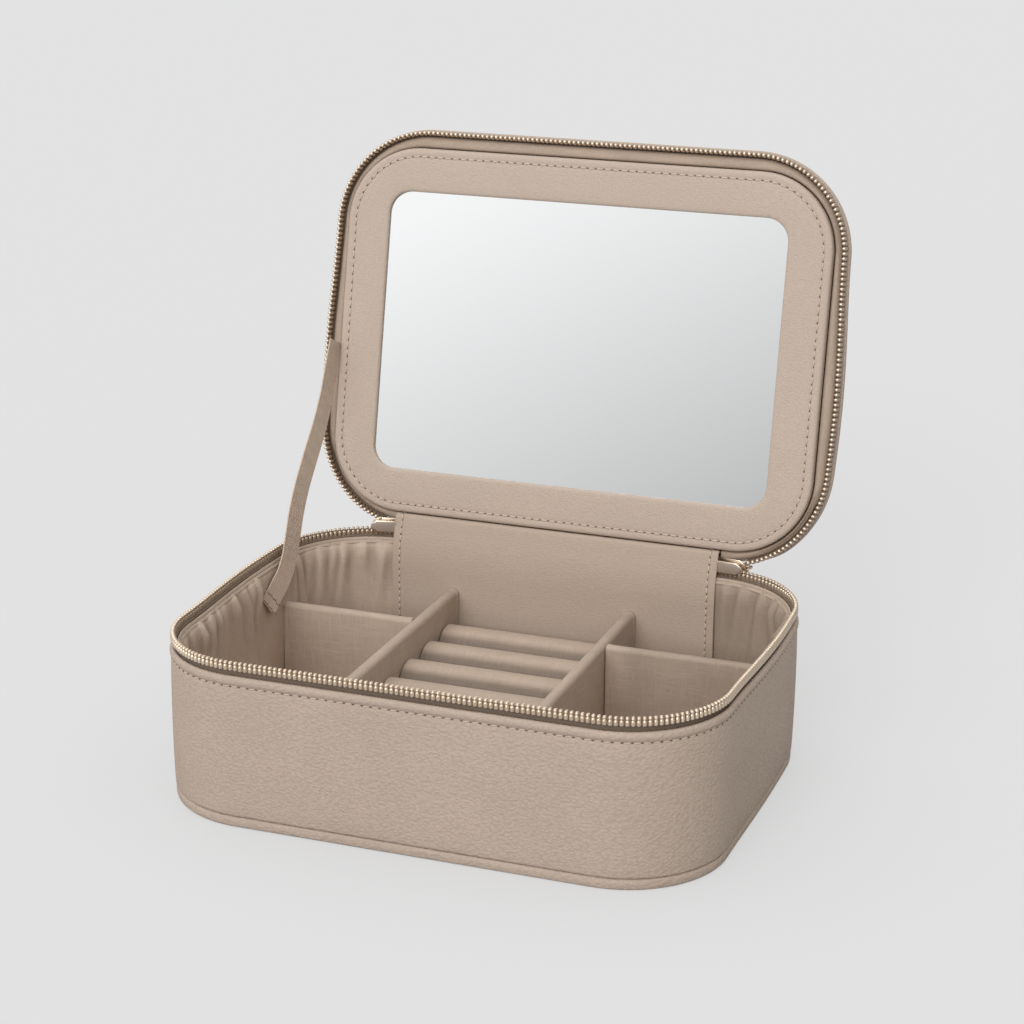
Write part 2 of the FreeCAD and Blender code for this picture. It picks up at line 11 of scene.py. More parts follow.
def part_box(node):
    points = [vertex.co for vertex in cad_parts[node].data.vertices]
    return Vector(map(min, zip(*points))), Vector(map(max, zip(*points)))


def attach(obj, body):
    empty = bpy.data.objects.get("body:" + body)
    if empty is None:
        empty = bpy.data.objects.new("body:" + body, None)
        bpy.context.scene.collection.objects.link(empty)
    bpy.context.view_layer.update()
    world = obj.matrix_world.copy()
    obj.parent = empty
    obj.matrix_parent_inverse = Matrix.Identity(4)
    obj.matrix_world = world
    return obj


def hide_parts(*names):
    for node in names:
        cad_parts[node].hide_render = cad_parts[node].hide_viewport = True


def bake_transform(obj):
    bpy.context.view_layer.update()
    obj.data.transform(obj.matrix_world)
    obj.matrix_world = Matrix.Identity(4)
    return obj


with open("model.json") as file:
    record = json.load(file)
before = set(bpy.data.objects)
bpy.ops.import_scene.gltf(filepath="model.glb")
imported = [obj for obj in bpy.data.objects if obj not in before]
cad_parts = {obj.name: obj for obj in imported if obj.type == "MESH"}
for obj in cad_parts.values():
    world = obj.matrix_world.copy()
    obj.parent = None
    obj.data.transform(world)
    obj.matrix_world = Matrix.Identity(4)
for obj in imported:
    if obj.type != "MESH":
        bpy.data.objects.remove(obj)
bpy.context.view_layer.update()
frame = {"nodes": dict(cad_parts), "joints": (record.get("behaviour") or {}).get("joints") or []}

bl_info = {
    "name": "Makeup Case Dresser",
    "version": (1, 0, 0),
    "blender": (4, 5, 0),
    "location": "View3D > Sidebar > Makeup Case",
    "description": "Dresses the solids of a zip-round makeup case in leather, cloth, metal and mirror",
    "category": "Object",
}

# What the solids give: the box, the corners, the zip's height and the hinge, in metres
joints = {joint["name"]: joint for joint in frame["joints"]}
wall_low, wall_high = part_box("base_side_cover")
corner = Vector(joints["right_slider_run"]["pos_m"])
zip_height = corner.z
hinge = Vector(joints["lid_hinge"]["pos_m"])
open_angle = math.radians(joints["lid_hinge"]["range_deg"][1])
opening = (Matrix.Translation(hinge) @ Matrix.Rotation(-open_angle, 4, "X")
           @ Matrix.Translation(-hinge))
closing = opening.inverted()

MM = 0.001
QUARTER = math.pi / 2
FRONT, RIGHT, BACK, LEFT = -QUARTER, 0.0, QUARTER, math.pi
# Distance below which points are one, equal parts of each run of a loft, and how far a tone swings the gloss
MERGE, RUN_PARTS, GLOSS_SWING = 1e-6, 4, 0.06


def shut_box(node):
    """Lowest and highest corner of one of the lid's nodes while the lid is shut."""
    points = [closing @ vertex.co for vertex in frame["nodes"][node].data.vertices]
    return (Vector([min(point[axis] for point in points) for axis in range(3)]),
            Vector([max(point[axis] for point in points) for axis in range(3)]))


class CaseSizes(bpy.types.PropertyGroup):
    """Sizes of the details that the solids leave plain."""

    corner_steps: IntProperty(
        name="Corner steps", description="Faces round each corner of the case", default=24, min=6)
    run_step: FloatProperty(
        name="Run step", description="Longest face along a straight side", default=0.006, unit="LENGTH")
    bead_height: FloatProperty(
        name="Bead height", description="Height of the rolled edge above the stitches",
        default=0.0040, unit="LENGTH")
    bead_swell: FloatProperty(
        name="Bead swell", description="How far the rolled edge stands proud", default=0.00045,
        unit="LENGTH")
    wall_belly: FloatProperty(
        name="Wall belly", description="How far the wall swells at half its height", default=0.0004,
        unit="LENGTH")
    groove_depth: FloatProperty(
        name="Stitch groove", description="How deep the stitches draw the leather in",
        default=0.0005, unit="LENGTH")
    stitch_pitch: FloatProperty(
        name="Stitch pitch", description="Length from one stitch to the next", default=0.0035,
        unit="LENGTH")
    stitch_width: FloatProperty(
        name="Thread width", description="Width of the sewing thread", default=0.00085, unit="LENGTH")
    frame_seam: FloatProperty(
        name="Frame seam", description="Stitches' distance from the mirror frame's edge",
        default=0.0036, unit="LENGTH")
    panel_seam: FloatProperty(
        name="Panel seam", description="Stitches' distance from the hinge panel's edge",
        default=0.0033, unit="LENGTH")
    fold_pitch: FloatProperty(
        name="Fold pitch", description="Usual width of a fold in the gathered lining",
        default=0.0076, unit="LENGTH")
    fold_depth: FloatProperty(
        name="Fold depth", description="Deepest fold of the gathered lining", default=0.0034,
        unit="LENGTH")
    ribbon_width: FloatProperty(
        name="Ribbon width", description="Width of the lid's stay ribbon", default=0.0102, unit="LENGTH")
    zip_flare: FloatProperty(
        name="Zip flare", description="How far the open rows of teeth lean out of the seams",
        default=0.0011, unit="LENGTH")
    lid_swell: FloatProperty(
        name="Lid swell", description="How far the padded lid swells beyond its solid", default=0.0026,
        unit="LENGTH")
    side_bow: FloatProperty(
        name="Side bow", description="How far the left and right sides swell at the zip", default=0.0020,
        unit="LENGTH")
    slider_place: FloatProperty(
        name="Slider place", description="How far the parked sliders stand past the back corner's start",
        default=0.0063, unit="LENGTH")
    hinge_shift: FloatProperty(
        name="Hinge shift", description="How far the hinge leather and the sliders stand right of the middle",
        default=-0.0022, unit="LENGTH")
    panel_trim: FloatProperty(
        name="Panel trim", description="How much narrower each side of the hinge panel is than its solid",
        default=-0.0008, unit="LENGTH")
    tooth_pitch: FloatProperty(
        name="Tooth pitch", description="Length from one zip tooth to the next", default=0.0020,
        unit="LENGTH")


class CaseColours(bpy.types.PropertyGroup):
    """Colours of the finishes."""

    leather: FloatVectorProperty(
        name="Leather", description="Outer leather", subtype="COLOR", size=4,
        default=(0.490, 0.395, 0.327, 1.0))
    frame_leather: FloatVectorProperty(
        name="Frame leather", description="Leather of the mirror frame",
        subtype="COLOR", size=4, default=(0.515, 0.424, 0.355, 1.0))
    lining: FloatVectorProperty(
        name="Lining", description="Gathered lining, floor and facing", subtype="COLOR", size=4,
        default=(0.475, 0.378, 0.300, 1.0))
    divider: FloatVectorProperty(
        name="Dividers", description="Cloth on the dividers", subtype="COLOR", size=4,
        default=(0.425, 0.339, 0.271, 1.0))
    panel: FloatVectorProperty(
        name="Panel leather", description="Leather of the hinge panel", subtype="COLOR", size=4,
        default=(0.447, 0.361, 0.293, 1.0))
    roll: FloatVectorProperty(
        name="Rolls", description="Cloth on the ring rolls", subtype="COLOR", size=4,
        default=(0.430, 0.342, 0.272, 1.0))
    # Painted shade: the tape is coloured darker than its cloth, to stand for the shade in the recess under
    # the teeth
    tape: FloatVectorProperty(
        name="Zip tape", description="Woven tape of the zip", subtype="COLOR",
        size=4, default=(0.180, 0.136, 0.103, 1.0))
    ribbon: FloatVectorProperty(
        name="Ribbon", description="The lid's stay ribbon", subtype="COLOR", size=4,
        default=(0.600, 0.485, 0.395, 1.0))
    thread: FloatVectorProperty(
        name="Thread", description="Sewing thread", subtype="COLOR", size=4,
        default=(0.560, 0.455, 0.370, 1.0))
    gold: FloatVectorProperty(
        name="Gold", description="Plated metal of the zip", subtype="COLOR", size=4,
        default=(0.790, 0.660, 0.520, 1.0))
    floor: FloatVectorProperty(
        name="Floor", description="Floor under the case", subtype="COLOR", size=4,
        default=(0.434, 0.440, 0.450, 1.0))


class CaseStage(bpy.types.PropertyGroup):
    """The view of the case and the light on it."""

    azimuth: FloatProperty(
        name="Azimuth", description="Turn of the camera to the right of the front",
        default=math.radians(20.05), subtype="ANGLE")
    elevation: FloatProperty(
        name="Elevation", description="Rise of the camera above the horizon",
        default=math.radians(18.03), subtype="ANGLE")
    roll: FloatProperty(
        name="Roll", description="Lean of the camera", default=math.radians(0.32), subtype="ANGLE")
    distance: FloatProperty(
        name="Distance", description="Distance of the camera from what it looks at", default=0.93463,
        unit="LENGTH")
    target: FloatVectorProperty(
        name="Target", description="Point that the camera looks at", subtype="XYZ", unit="LENGTH",
        default=(0.00896, 0.00081, 0.10794))
    lens: FloatProperty(
        name="Lens", description="Focal length in millimetres on a 36 mm sensor", default=86.3)
    key: FloatProperty(
        name="Key light", description="Strength of the soft light from the front", default=1.46)
    key_tilt: FloatProperty(
        name="Key tilt", description="Angle of the key light from straight down", default=math.radians(64),
        subtype="ANGLE")
    key_turn: FloatProperty(
        name="Key turn", description="Angle of the key light to the left of the front",
        default=math.radians(2), subtype="ANGLE")
    key_spread: FloatProperty(
        name="Key spread", description="Softness of the key light", default=math.radians(34),
        subtype="ANGLE")
    fill_low: FloatProperty(
        name="Low fill", description="Strength of the light from the horizon", default=0.22)
    fill_high: FloatProperty(
        name="High fill", description="Strength of the light from straight above", default=1.40)
    fill_lean: FloatProperty(
        name="Fill lean", default=-0.15,
        description="Weight of the way to the right in the fill's slope, next to the way up")
    fill_warm: FloatVectorProperty(
        name="Warm fill", description="Colour of the light from the horizon", subtype="COLOR", size=4,
        default=(1.0, 0.94, 0.86, 1.0))
    floor_glow: FloatProperty(
        name="Floor glow", description="Share of the pale floor that the camera sees without shadow",
        default=0.52)
    floor_pale: FloatVectorProperty(
        name="Pale floor", description="Colour of the floor for the camera", subtype="COLOR", size=4,
        default=(0.980, 0.980, 0.980, 1.0))
    backdrop: FloatVectorProperty(
        name="Backdrop", description="Colour beyond the floor", subtype="COLOR", size=4,
        default=(0.753, 0.755, 0.757, 1.0))
    studio_lean: FloatProperty(
        name="Studio lean", default=-0.6565,
        description="Weight of the way to the right in the studio's slope, next to the way up")
    studio_low: FloatProperty(
        name="Studio low", description="Slope where the studio is darkest", default=0.186)
    studio_high: FloatProperty(
        name="Studio high", description="Slope where the studio is brightest", default=0.427)
    studio_dark: FloatProperty(
        name="Studio dark", description="Least brightness of the studio in metal and glass",
        default=0.42)
    studio_bright: FloatProperty(
        name="Studio bright", description="Most brightness of the studio in metal and glass",
        default=0.98)


def sizes():
    return bpy.context.scene.case_sizes


def colours():
    return bpy.context.scene.case_colours


def studio():
    return bpy.context.scene.case_stage


# Outlines: a leg is a run or a turn on the way round a rectangle with round corners

Leg = namedtuple("Leg", "centre start angle step")


class Outline:
    """Rectangle with round corners: how far its corners' centres reach, their radius and its middle."""

    def __init__(self, reach_x, reach_y, radius, middle_y=0.0):
        self.reach_x = reach_x
        self.reach_y = reach_y
        self.radius = radius
        self.middle_y = middle_y

    def corner(self, side_x, side_y):
        return Vector((side_x * self.reach_x, self.middle_y + side_y * self.reach_y, 0))

    def ring(self):
        """Legs once round, counter-clockwise from the middle of the front."""
        across, along = self.reach_x, 2 * self.reach_y
        middle = Vector((0, self.middle_y - self.reach_y, 0))
        return [Leg(middle, FRONT, 0, Vector((across, 0, 0))),
                Leg(self.corner(1, -1), FRONT, QUARTER, None),
                Leg(self.corner(1, -1), RIGHT, 0, Vector((0, along, 0))),
                Leg(self.corner(1, 1), RIGHT, QUARTER, None),
                Leg(self.corner(1, 1), BACK, 0, Vector((-2 * across, 0, 0))),
                Leg(self.corner(-1, 1), BACK, QUARTER, None),
                Leg(self.corner(-1, 1), LEFT, 0, Vector((0, -along, 0))),
                Leg(self.corner(-1, -1), LEFT, QUARTER, None),
                Leg(self.corner(-1, -1), FRONT, 0, Vector((across, 0, 0)))]

    def open_back(self, first_turn):
        """Legs from the back left corner round the front to the back right corner."""
        along = 2 * self.reach_y
        left = QUARTER - first_turn
        return [Leg(self.corner(-1, 1), BACK + first_turn, left, None),
                Leg(self.corner(-1, 1), LEFT, 0, Vector((0, -along, 0))),
                Leg(self.corner(-1, -1), LEFT, QUARTER, None),
                Leg(self.corner(-1, -1), FRONT, 0, Vector((2 * self.reach_x, 0, 0))),
                Leg(self.corner(1, -1), FRONT, QUARTER, None),
                Leg(self.corner(1, -1), RIGHT, 0, Vector((0, along, 0))),
                Leg(self.corner(1, 1), RIGHT, left, None)]

    def travel(self, point):
        """Length round the outline, from the middle of the front, to the place beside a point."""
        done = 0.0
        for leg in self.ring():
            off = Vector((point.x, point.y, 0)) - leg.centre
            if leg.angle:
                turned = (math.atan2(off.y, off.x) - leg.start + math.pi) % (2 * math.pi) - math.pi
                if -MERGE <= turned <= leg.angle + MERGE and self.in_corner(point):
                    return done + turned * self.radius
                done += leg.angle * self.radius
            else:
                way = leg.step.normalized()
                ahead = off.dot(way)
                outward = off.dot(Vector((math.cos(leg.start), math.sin(leg.start), 0)))
                if -MERGE <= ahead <= leg.step.length + MERGE and outward > 0:
                    return done + ahead
                done += leg.step.length
        raise ValueError(f"no place on the outline beside {point}")

    def in_corner(self, point):
        return abs(point.x) > self.reach_x - MERGE and abs(point.y - self.middle_y) > self.reach_y - MERGE


def around(centre, radius, angle, up=0.0):
    """Point at an angle round a centre."""
    return Vector((centre.x + radius * math.cos(angle), centre.y + radius * math.sin(angle), up))


def leg_length(leg, radius):
    return leg.angle * radius if leg.angle else leg.step.length


def stations(legs, radius, up, pitch):
    """Even places along the legs, each with X along the way, Y inward and Z up."""
    total = sum(leg_length(leg, radius) for leg in legs)
    count = round(total / pitch)
    places = []
    for number in range(count):
        left = (number + 0.5) * total / count
        for leg in legs:
            if left <= leg_length(leg, radius):
                break
            left -= leg_length(leg, radius)
        angle = leg.start + (left / radius if leg.angle else 0.0)
        point = around(leg.centre, radius, angle, up)
        if not leg.angle:
            point += leg.step.normalized() * left
        places.append(Matrix.Translation(point) @ Matrix.Rotation(angle + QUARTER, 4, "Z"))
    return places


def arc(centre_out, centre_up, radius, first, last, steps):
    """Points of a round stretch of a section, in degrees from outward, counted towards up."""
    points = []
    for step in range(steps + 1):
        angle = math.radians(first + (last - first) * step / steps)
        points.append((centre_out + radius * math.cos(angle), centre_up + radius * math.sin(angle)))
    return points


def beside(out, up, steps):
    """Points of a section at steps in millimetres, outward and up, from one point."""
    return [(out + step_out * MM, up + step_up * MM) for step_out, step_up in steps]


def rings_beside(outline, out, up, steps):
    """The same as rings round an outline."""
    return [(outline, *point) for point in beside(out, up, steps)]


case = Outline(corner.x, corner.y, wall_high.x - corner.x)


# Modelling by hand: drawing, sweeping, bridging and finishing

def object_mode():
    bpy.ops.object.mode_set(mode="OBJECT")


def edit_mode():
    bpy.ops.object.mode_set(mode="EDIT")


def select_mesh():
    bpy.ops.mesh.select_all(action="SELECT")


def deselect_mesh():
    bpy.ops.mesh.select_all(action="DESELECT")


def deselect_objects():
    bpy.ops.object.select_all(action="DESELECT")


def extrude(step):
    """Extrudes what is selected by a step."""
    bpy.ops.mesh.extrude_region_move(TRANSFORM_OT_translate={"value": step})


def start_vertex(name, point):
    """New object in edit mode, with one selected vertex."""
    deselect_objects()
    bpy.ops.mesh.primitive_plane_add(size=MM, enter_editmode=True)
    bpy.ops.mesh.merge(type="CENTER")
    bpy.ops.transform.translate(value=point)
    piece = bpy.context.object
    piece.name = name
    return piece


def draw_on(points):
    """Draws a chain of edges on from the selected vertex, and selects all of it."""
    for here, there in zip(points, points[1:]):
        bpy.ops.mesh.extrude_vertices_move(TRANSFORM_OT_translate={"value": there - here})
    select_mesh()


def follow(legs, corner_steps, run_step):
    """Carries the selected section along the legs."""
    for leg in legs:
        if leg.angle:
            steps = max(2, round(corner_steps * leg.angle / QUARTER))
            bpy.ops.mesh.spin(steps=steps, angle=leg.angle, center=leg.centre, axis=(0, 0, -1))
        else:
            steps = max(1, math.ceil(leg.step.length / run_step))
            for _ in range(steps):
                extrude(leg.step / steps)


def sweep(name, legs, radius, section, corner_steps=None, run_step=None, cap=False):
    """Sweeps a section of (out, up) points along the legs. A section that ends where it starts is a bar."""
    first = legs[0]
    points = [around(first.centre, radius + out, first.start, up) for out, up in section]
    piece = start_vertex(name, points[0])
    draw_on(points)
    if cap:
        fill_outline()
    follow(legs, corner_steps or sizes().corner_steps, run_step or sizes().run_step)
    merge_and_face_out()
    return piece


def fill_outline():
    """Closes the drawn chain, which ends where it starts, and fills it."""
    bpy.ops.mesh.remove_doubles(threshold=MERGE)
    select_mesh()
    bpy.ops.mesh.edge_face_add()
    select_mesh()


def merge_and_face_out():
    """Closes seams and turns all faces outwards, in edit mode."""
    select_mesh()
    bpy.ops.mesh.remove_doubles(threshold=MERGE)
    bpy.ops.mesh.normals_make_consistent(inside=False)
    deselect_mesh()
    object_mode()


def fill_rings(piece):
    """Closes each open ring of edges with a face."""
    activate(piece)
    edit_mode()
    bpy.ops.mesh.select_mode(type="EDGE")
    deselect_mesh()
    bpy.ops.mesh.select_non_manifold(extend=False, use_wire=False, use_multi_face=False,
                                     use_non_contiguous=False, use_verts=False)
    bpy.ops.mesh.edge_face_add()
    bpy.ops.mesh.select_mode(type="VERT")
    merge_and_face_out()


def loft(name, rings):
    """Bridges rings of (outline, out, up), each to the next and the last to the first."""
    piece = None
    for outline, out, up in rings:
        legs = outline.ring()
        point = around(legs[0].centre, outline.radius + out, legs[0].start, up)
        if piece is None:
            piece = start_vertex(name, point)
        else:
            deselect_mesh()
            bpy.ops.mesh.primitive_plane_add(size=MM)
            bpy.ops.mesh.merge(type="CENTER")
            bpy.ops.transform.translate(value=point)
        follow(even_legs(legs), sizes().corner_steps, 1.0)
    select_mesh()
    bpy.ops.mesh.remove_doubles(threshold=MERGE)
    object_mode()
    size = len(piece.data.vertices) // len(rings)
    for number in range(len(rings)):
        bridge(piece, [range(part * size, (part + 1) * size)
                       for part in (number, (number + 1) % len(rings))])
    edit_mode()
    merge_and_face_out()
    return piece


def even_legs(legs):
    """The same legs with each run cut into a few equal ones."""
    cut = []
    for leg in legs:
        if leg.angle:
            cut.append(leg)
            continue
        for number in range(RUN_PARTS):
            centre = leg.centre + leg.step * number / RUN_PARTS
            cut.append(Leg(centre, leg.start, 0, leg.step / RUN_PARTS))
    return cut


def bridge(piece, groups):
    """Joins two rings of vertices with faces."""
    wanted = {index for group in groups for index in group}
    ring_of = {index: number for number, group in enumerate(groups) for index in group}
    activate(piece)
    edit_mode()
    bpy.ops.mesh.select_mode(type="EDGE")
    deselect_mesh()
    object_mode()
    for edge in piece.data.edges:
        first, second = edge.vertices
        if first in wanted and second in wanted and ring_of[first] == ring_of[second]:
            edge.select = True
    edit_mode()
    bpy.ops.mesh.bridge_edge_loops()
    bpy.ops.mesh.select_mode(type="VERT")
    object_mode()


def activate(piece):
    """Makes one object the only selected and active one."""
    deselect_objects()
    piece.select_set(True)
    bpy.context.view_layer.objects.active = piece


def settle(piece):
    """Puts an object's place into its mesh."""
    activate(piece)
    bpy.ops.object.transform_apply(location=True, rotation=True, scale=True)


def open_up(piece):
    """Turns a piece of the shut lid to where the open lid is."""
    piece.matrix_world = opening @ piece.matrix_world
    settle(piece)


def modify(piece, kind, **settings):
    """Adds a modifier and applies it."""
    modifier = piece.modifiers.new(kind.title(), kind)
    for key, value in settings.items():
        setattr(modifier, key, value)
    activate(piece)
    bpy.ops.object.modifier_apply(modifier=modifier.name)


def set_copies(piece, places, name):
    """Copies a small piece to each place and joins the copies into one object."""
    copies = []
    for place in places:
        copy = piece.copy()
        copy.data = piece.data.copy()
        bpy.context.collection.objects.link(copy)
        copy.matrix_world = place
        copies.append(copy)
    bpy.data.objects.remove(piece)
    return join_pieces(copies, name)


def join_pieces(pieces, name):
    """Joins objects into the first of them and puts their place into the mesh."""
    deselect_objects()
    for piece in pieces:
        piece.select_set(True)
    bpy.context.view_layer.objects.active = pieces[0]
    bpy.ops.object.join()
    joined = bpy.context.object
    joined.name = name
    settle(joined)
    return joined


def face_out(piece):
    """Turns all faces of a piece outwards."""
    activate(piece)
    edit_mode()
    select_mesh()
    bpy.ops.mesh.normals_make_consistent(inside=False)
    object_mode()


def dress(piece, body, build, replaced=(), smooth=35.0):
    """Gives a piece its shading, the finish that a function builds and the body that it moves with."""
    finish(piece, build, replaced, smooth)
    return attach(piece, body)


def dress_lid(piece, build, replaced, smooth=35.0):
    """The same for a piece of the lid, which is made shut and turned open first."""
    open_up(piece)
    return dress(piece, "lid", build, replaced, smooth)


def dress_bent(piece, build, replaced=(), smooth=35.0):
    """The same shading and finish for leather or cloth that bends between the base and the lid, which is left
    with no body to move with.
    """
    finish(piece, build, replaced, smooth)
    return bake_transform(piece)


def finish(piece, build, replaced, smooth):
    activate(piece)
    bpy.ops.object.shade_smooth_by_angle(angle=math.radians(smooth))
    piece.data.materials.clear()
    piece.data.materials.append(finish_of(build))
    if replaced:
        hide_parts(*replaced)


def box_piece(name, low, high):
    """Box between two corners, in edit mode with all of it selected."""
    deselect_objects()
    bpy.ops.mesh.primitive_cube_add(size=1.0, enter_editmode=True)
    piece = bpy.context.object
    piece.name = name
    bpy.ops.transform.resize(value=high - low)
    bpy.ops.transform.translate(value=(low + high) / 2)
    return piece


def select_edges(piece, wanted):
    """Selects the edges whose two ends pass a test, from edit mode and back to it."""
    bpy.ops.mesh.select_mode(type="EDGE")
    deselect_mesh()
    object_mode()
    places = [vertex.co for vertex in piece.data.vertices]
    for edge in piece.data.edges:
        edge.select = wanted(places[edge.vertices[0]], places[edge.vertices[1]])
    edit_mode()


def round_edges(offset, segments):
    """Rounds the selected edges."""
    bpy.ops.mesh.bevel(offset=offset, segments=segments, affect="EDGES", clamp_overlap=True)
    bpy.ops.mesh.select_mode(type="VERT")


def write_map(piece, place):
    """Gives a piece one UV map, from a place on it for each vertex."""
    while piece.data.uv_layers:
        piece.data.uv_layers.remove(piece.data.uv_layers[0])
    layer = piece.data.uv_layers.new(name="cloth")
    for loop in piece.data.loops:
        layer.data[loop.index].uv = place(loop.vertex_index)


# Finishes: small shader groups first, then one function for each material

finishes = {}


def put(tree, kind, inputs=None, **settings):
    """Adds a node, sets its properties, and sets or links its inputs."""
    node = tree.nodes.new(kind)
    for key, value in settings.items():
        setattr(node, key, value)
    for key, value in (inputs or {}).items():
        if isinstance(value, bpy.types.NodeSocket):
            tree.links.new(value, node.inputs[key])
        else:
            node.inputs[key].default_value = value
    return node


def math_node(tree, operation, first, second=0.0, third=0.0):
    node = put(tree, "ShaderNodeMath", {0: first, 1: second, 2: third}, operation=operation)
    return node.outputs[0]


def open_group(name, inputs):
    """Empty shader group that puts out a height and a tone; returns its tree and its two end nodes."""
    tree = bpy.data.node_groups.new(name, "ShaderNodeTree")
    tree.interface.new_socket(name="Vector", in_out="INPUT", socket_type="NodeSocketVector")
    for label, value in inputs.items():
        socket = tree.interface.new_socket(name=label, in_out="INPUT", socket_type="NodeSocketFloat")
        socket.default_value = value
    for label in ("Height", "Tone"):
        tree.interface.new_socket(name=label, in_out="OUTPUT", socket_type="NodeSocketFloat")
    return tree, tree.nodes.new("NodeGroupInput"), tree.nodes.new("NodeGroupOutput")


def close_group(tree, end, height, tone):
    """Links what a group puts out."""
    tree.links.new(height, end.inputs["Height"])
    tree.links.new(tone, end.inputs["Tone"])
    return tree


def shared_group(name, build):
    """The group of that name, built the first time that it is asked for."""
    return bpy.data.node_groups.get(name) or build(name)


def build_leather_grain(name):
    """Pebbled grain with fine wrinkles, as a height, and slow changes of tone."""
    tree, start, end = open_group(name, {"Pebble": 700.0, "Wrinkle": 1500.0})
    sway = put(tree, "ShaderNodeTexNoise", {"Vector": start.outputs["Vector"], "Scale": 300.0, "Detail": 2.0})
    shift = put(tree, "ShaderNodeVectorMath", {0: sway.outputs["Color"], 1: (0.5, 0.5, 0.5)},
                operation="SUBTRACT")
    small = put(tree, "ShaderNodeVectorMath", {0: shift.outputs[0], "Scale": 0.0016}, operation="SCALE")
    swayed = put(tree, "ShaderNodeVectorMath", {0: start.outputs["Vector"], 1: small.outputs[0]})
    pebble = put(tree, "ShaderNodeTexVoronoi",
                 {"Vector": swayed.outputs[0], "Scale": start.outputs["Pebble"], "Smoothness": 0.6},
                 feature="SMOOTH_F1")
    wrinkle = put(tree, "ShaderNodeTexNoise",
                  {"Vector": swayed.outputs[0], "Scale": start.outputs["Wrinkle"], "Detail": 3.0,
                   "Roughness": 0.6})
    slow = put(tree, "ShaderNodeTexNoise",
               {"Vector": start.outputs["Vector"], "Scale": 38.0, "Detail": 3.0, "Roughness": 0.55})
    domes = math_node(tree, "SUBTRACT", 1.0, pebble.outputs["Distance"])
    height = math_node(tree, "MULTIPLY_ADD", wrinkle.outputs["Fac"], 0.55, domes)
    tone = math_node(tree, "MULTIPLY_ADD", slow.outputs["Fac"], 0.28,
                     math_node(tree, "MULTIPLY", height, 0.36))
    return close_group(tree, end, height, tone)


def build_cloth_weave(name):
    """Upright and level threads of uneven thickness, as a height, with a tone that follows them."""
    tree, start, end = open_group(name, {"Threads": 1500.0, "Slubs": 150.0})
    fine, long = start.outputs["Threads"], start.outputs["Slubs"]
    heights = []
    for order in ((fine, fine, long), (long, long, fine)):
        spread = put(tree, "ShaderNodeCombineXYZ", {0: order[0], 1: order[1], 2: order[2]})
        scaled = put(tree, "ShaderNodeVectorMath", {0: start.outputs["Vector"], 1: spread.outputs[0]},
                     operation="MULTIPLY")
        thread = put(tree, "ShaderNodeTexNoise", {"Vector": scaled.outputs[0], "Scale": 1.0, "Detail": 1.5})
        heights.append(thread.outputs["Fac"])
    height = math_node(tree, "MAXIMUM", heights[0], heights[1])
    slow = put(tree, "ShaderNodeTexNoise",
               {"Vector": start.outputs["Vector"], "Scale": 55.0, "Detail": 2.0})
    tone = math_node(tree, "MULTIPLY_ADD", height, 0.65,
                     math_node(tree, "MULTIPLY", slow.outputs["Fac"], 0.35))
    return close_group(tree, end, height, tone)


def new_material(name):
    """Empty material; returns it with its tree and its Principled shader."""
    material = bpy.data.materials.new(name)
    material.use_nodes = True
    tree = material.node_tree
    tree.nodes.clear()
    shader = put(tree, "ShaderNodeBsdfPrincipled")
    put(tree, "ShaderNodeOutputMaterial", {"Surface": shader.outputs[0]})
    return material, tree, shader


def object_place(tree, scale=(1.0, 1.0, 1.0), turn=(0.0, 0.0, 0.0), source="Object"):
    """Coordinates on the piece, stretched and turned."""
    here = put(tree, "ShaderNodeTexCoord")
    return put(tree, "ShaderNodeMapping",
               {"Vector": here.outputs[source], "Scale": scale, "Rotation": turn}).outputs[0]


def mix_sockets(node):
    """The colour sockets of a Mix node."""
    return node.inputs[6], node.inputs[7], node.outputs[2]


def spread_tone(tree, tone, low, high):
    """A tone stretched so that low and high become 0 and 1."""
    return put(tree, "ShaderNodeMapRange",
               {"Value": tone, "From Min": low, "From Max": high}).outputs["Result"]


def cover(tree, shader, height, tone, colour, contrast, roughness, bump):
    """Links a surface's colour, gloss and relief to the Principled shader."""
    mix = put(tree, "ShaderNodeMix", data_type="RGBA")
    first, second, result = mix_sockets(mix)
    first.default_value = [channel * (1 - contrast) for channel in colour[:3]] + [1.0]
    second.default_value = [min(1.0, channel * (1 + contrast)) for channel in colour[:3]] + [1.0]
    tree.links.new(tone, mix.inputs[0])
    tree.links.new(result, shader.inputs["Base Color"])
    gloss = put(tree, "ShaderNodeMapRange",
                {"Value": tone, "To Min": roughness + GLOSS_SWING, "To Max": roughness - GLOSS_SWING})
    tree.links.new(gloss.outputs["Result"], shader.inputs["Roughness"])
    relief = put(tree, "ShaderNodeBump", {"Height": height, "Strength": 1.0, "Distance": bump})
    tree.links.new(relief.outputs[0], shader.inputs["Normal"])


def paint_shade(material, share, factor):
    """Paints shade: darkens a finished material's colour by a factor where a share is 1."""
    tree = material.node_tree
    shader = next(node for node in tree.nodes if node.type == "BSDF_PRINCIPLED")
    mix = put(tree, "ShaderNodeMix", {0: share}, data_type="RGBA", blend_type="MULTIPLY")
    first, second, result = mix_sockets(mix)
    tree.links.new(shader.inputs["Base Color"].links[0].from_socket, first)
    second.default_value = (factor, factor, factor, 1.0)
    tree.links.new(result, shader.inputs["Base Color"])


def paint_shade_between(material, source, axis, start, end, factor):
    """Paints shade: darkens a finished material more and more from a start to an end along one of its
    coordinates.
    """
    tree = material.node_tree
    place = put(tree, "ShaderNodeSeparateXYZ", {0: put(tree, "ShaderNodeTexCoord").outputs[source]})
    share = put(tree, "ShaderNodeMapRange",
                {"Value": place.outputs[axis], "From Min": start, "From Max": end},
                interpolation_type="SMOOTHSTEP")
    paint_shade(material, share.outputs["Result"], factor)


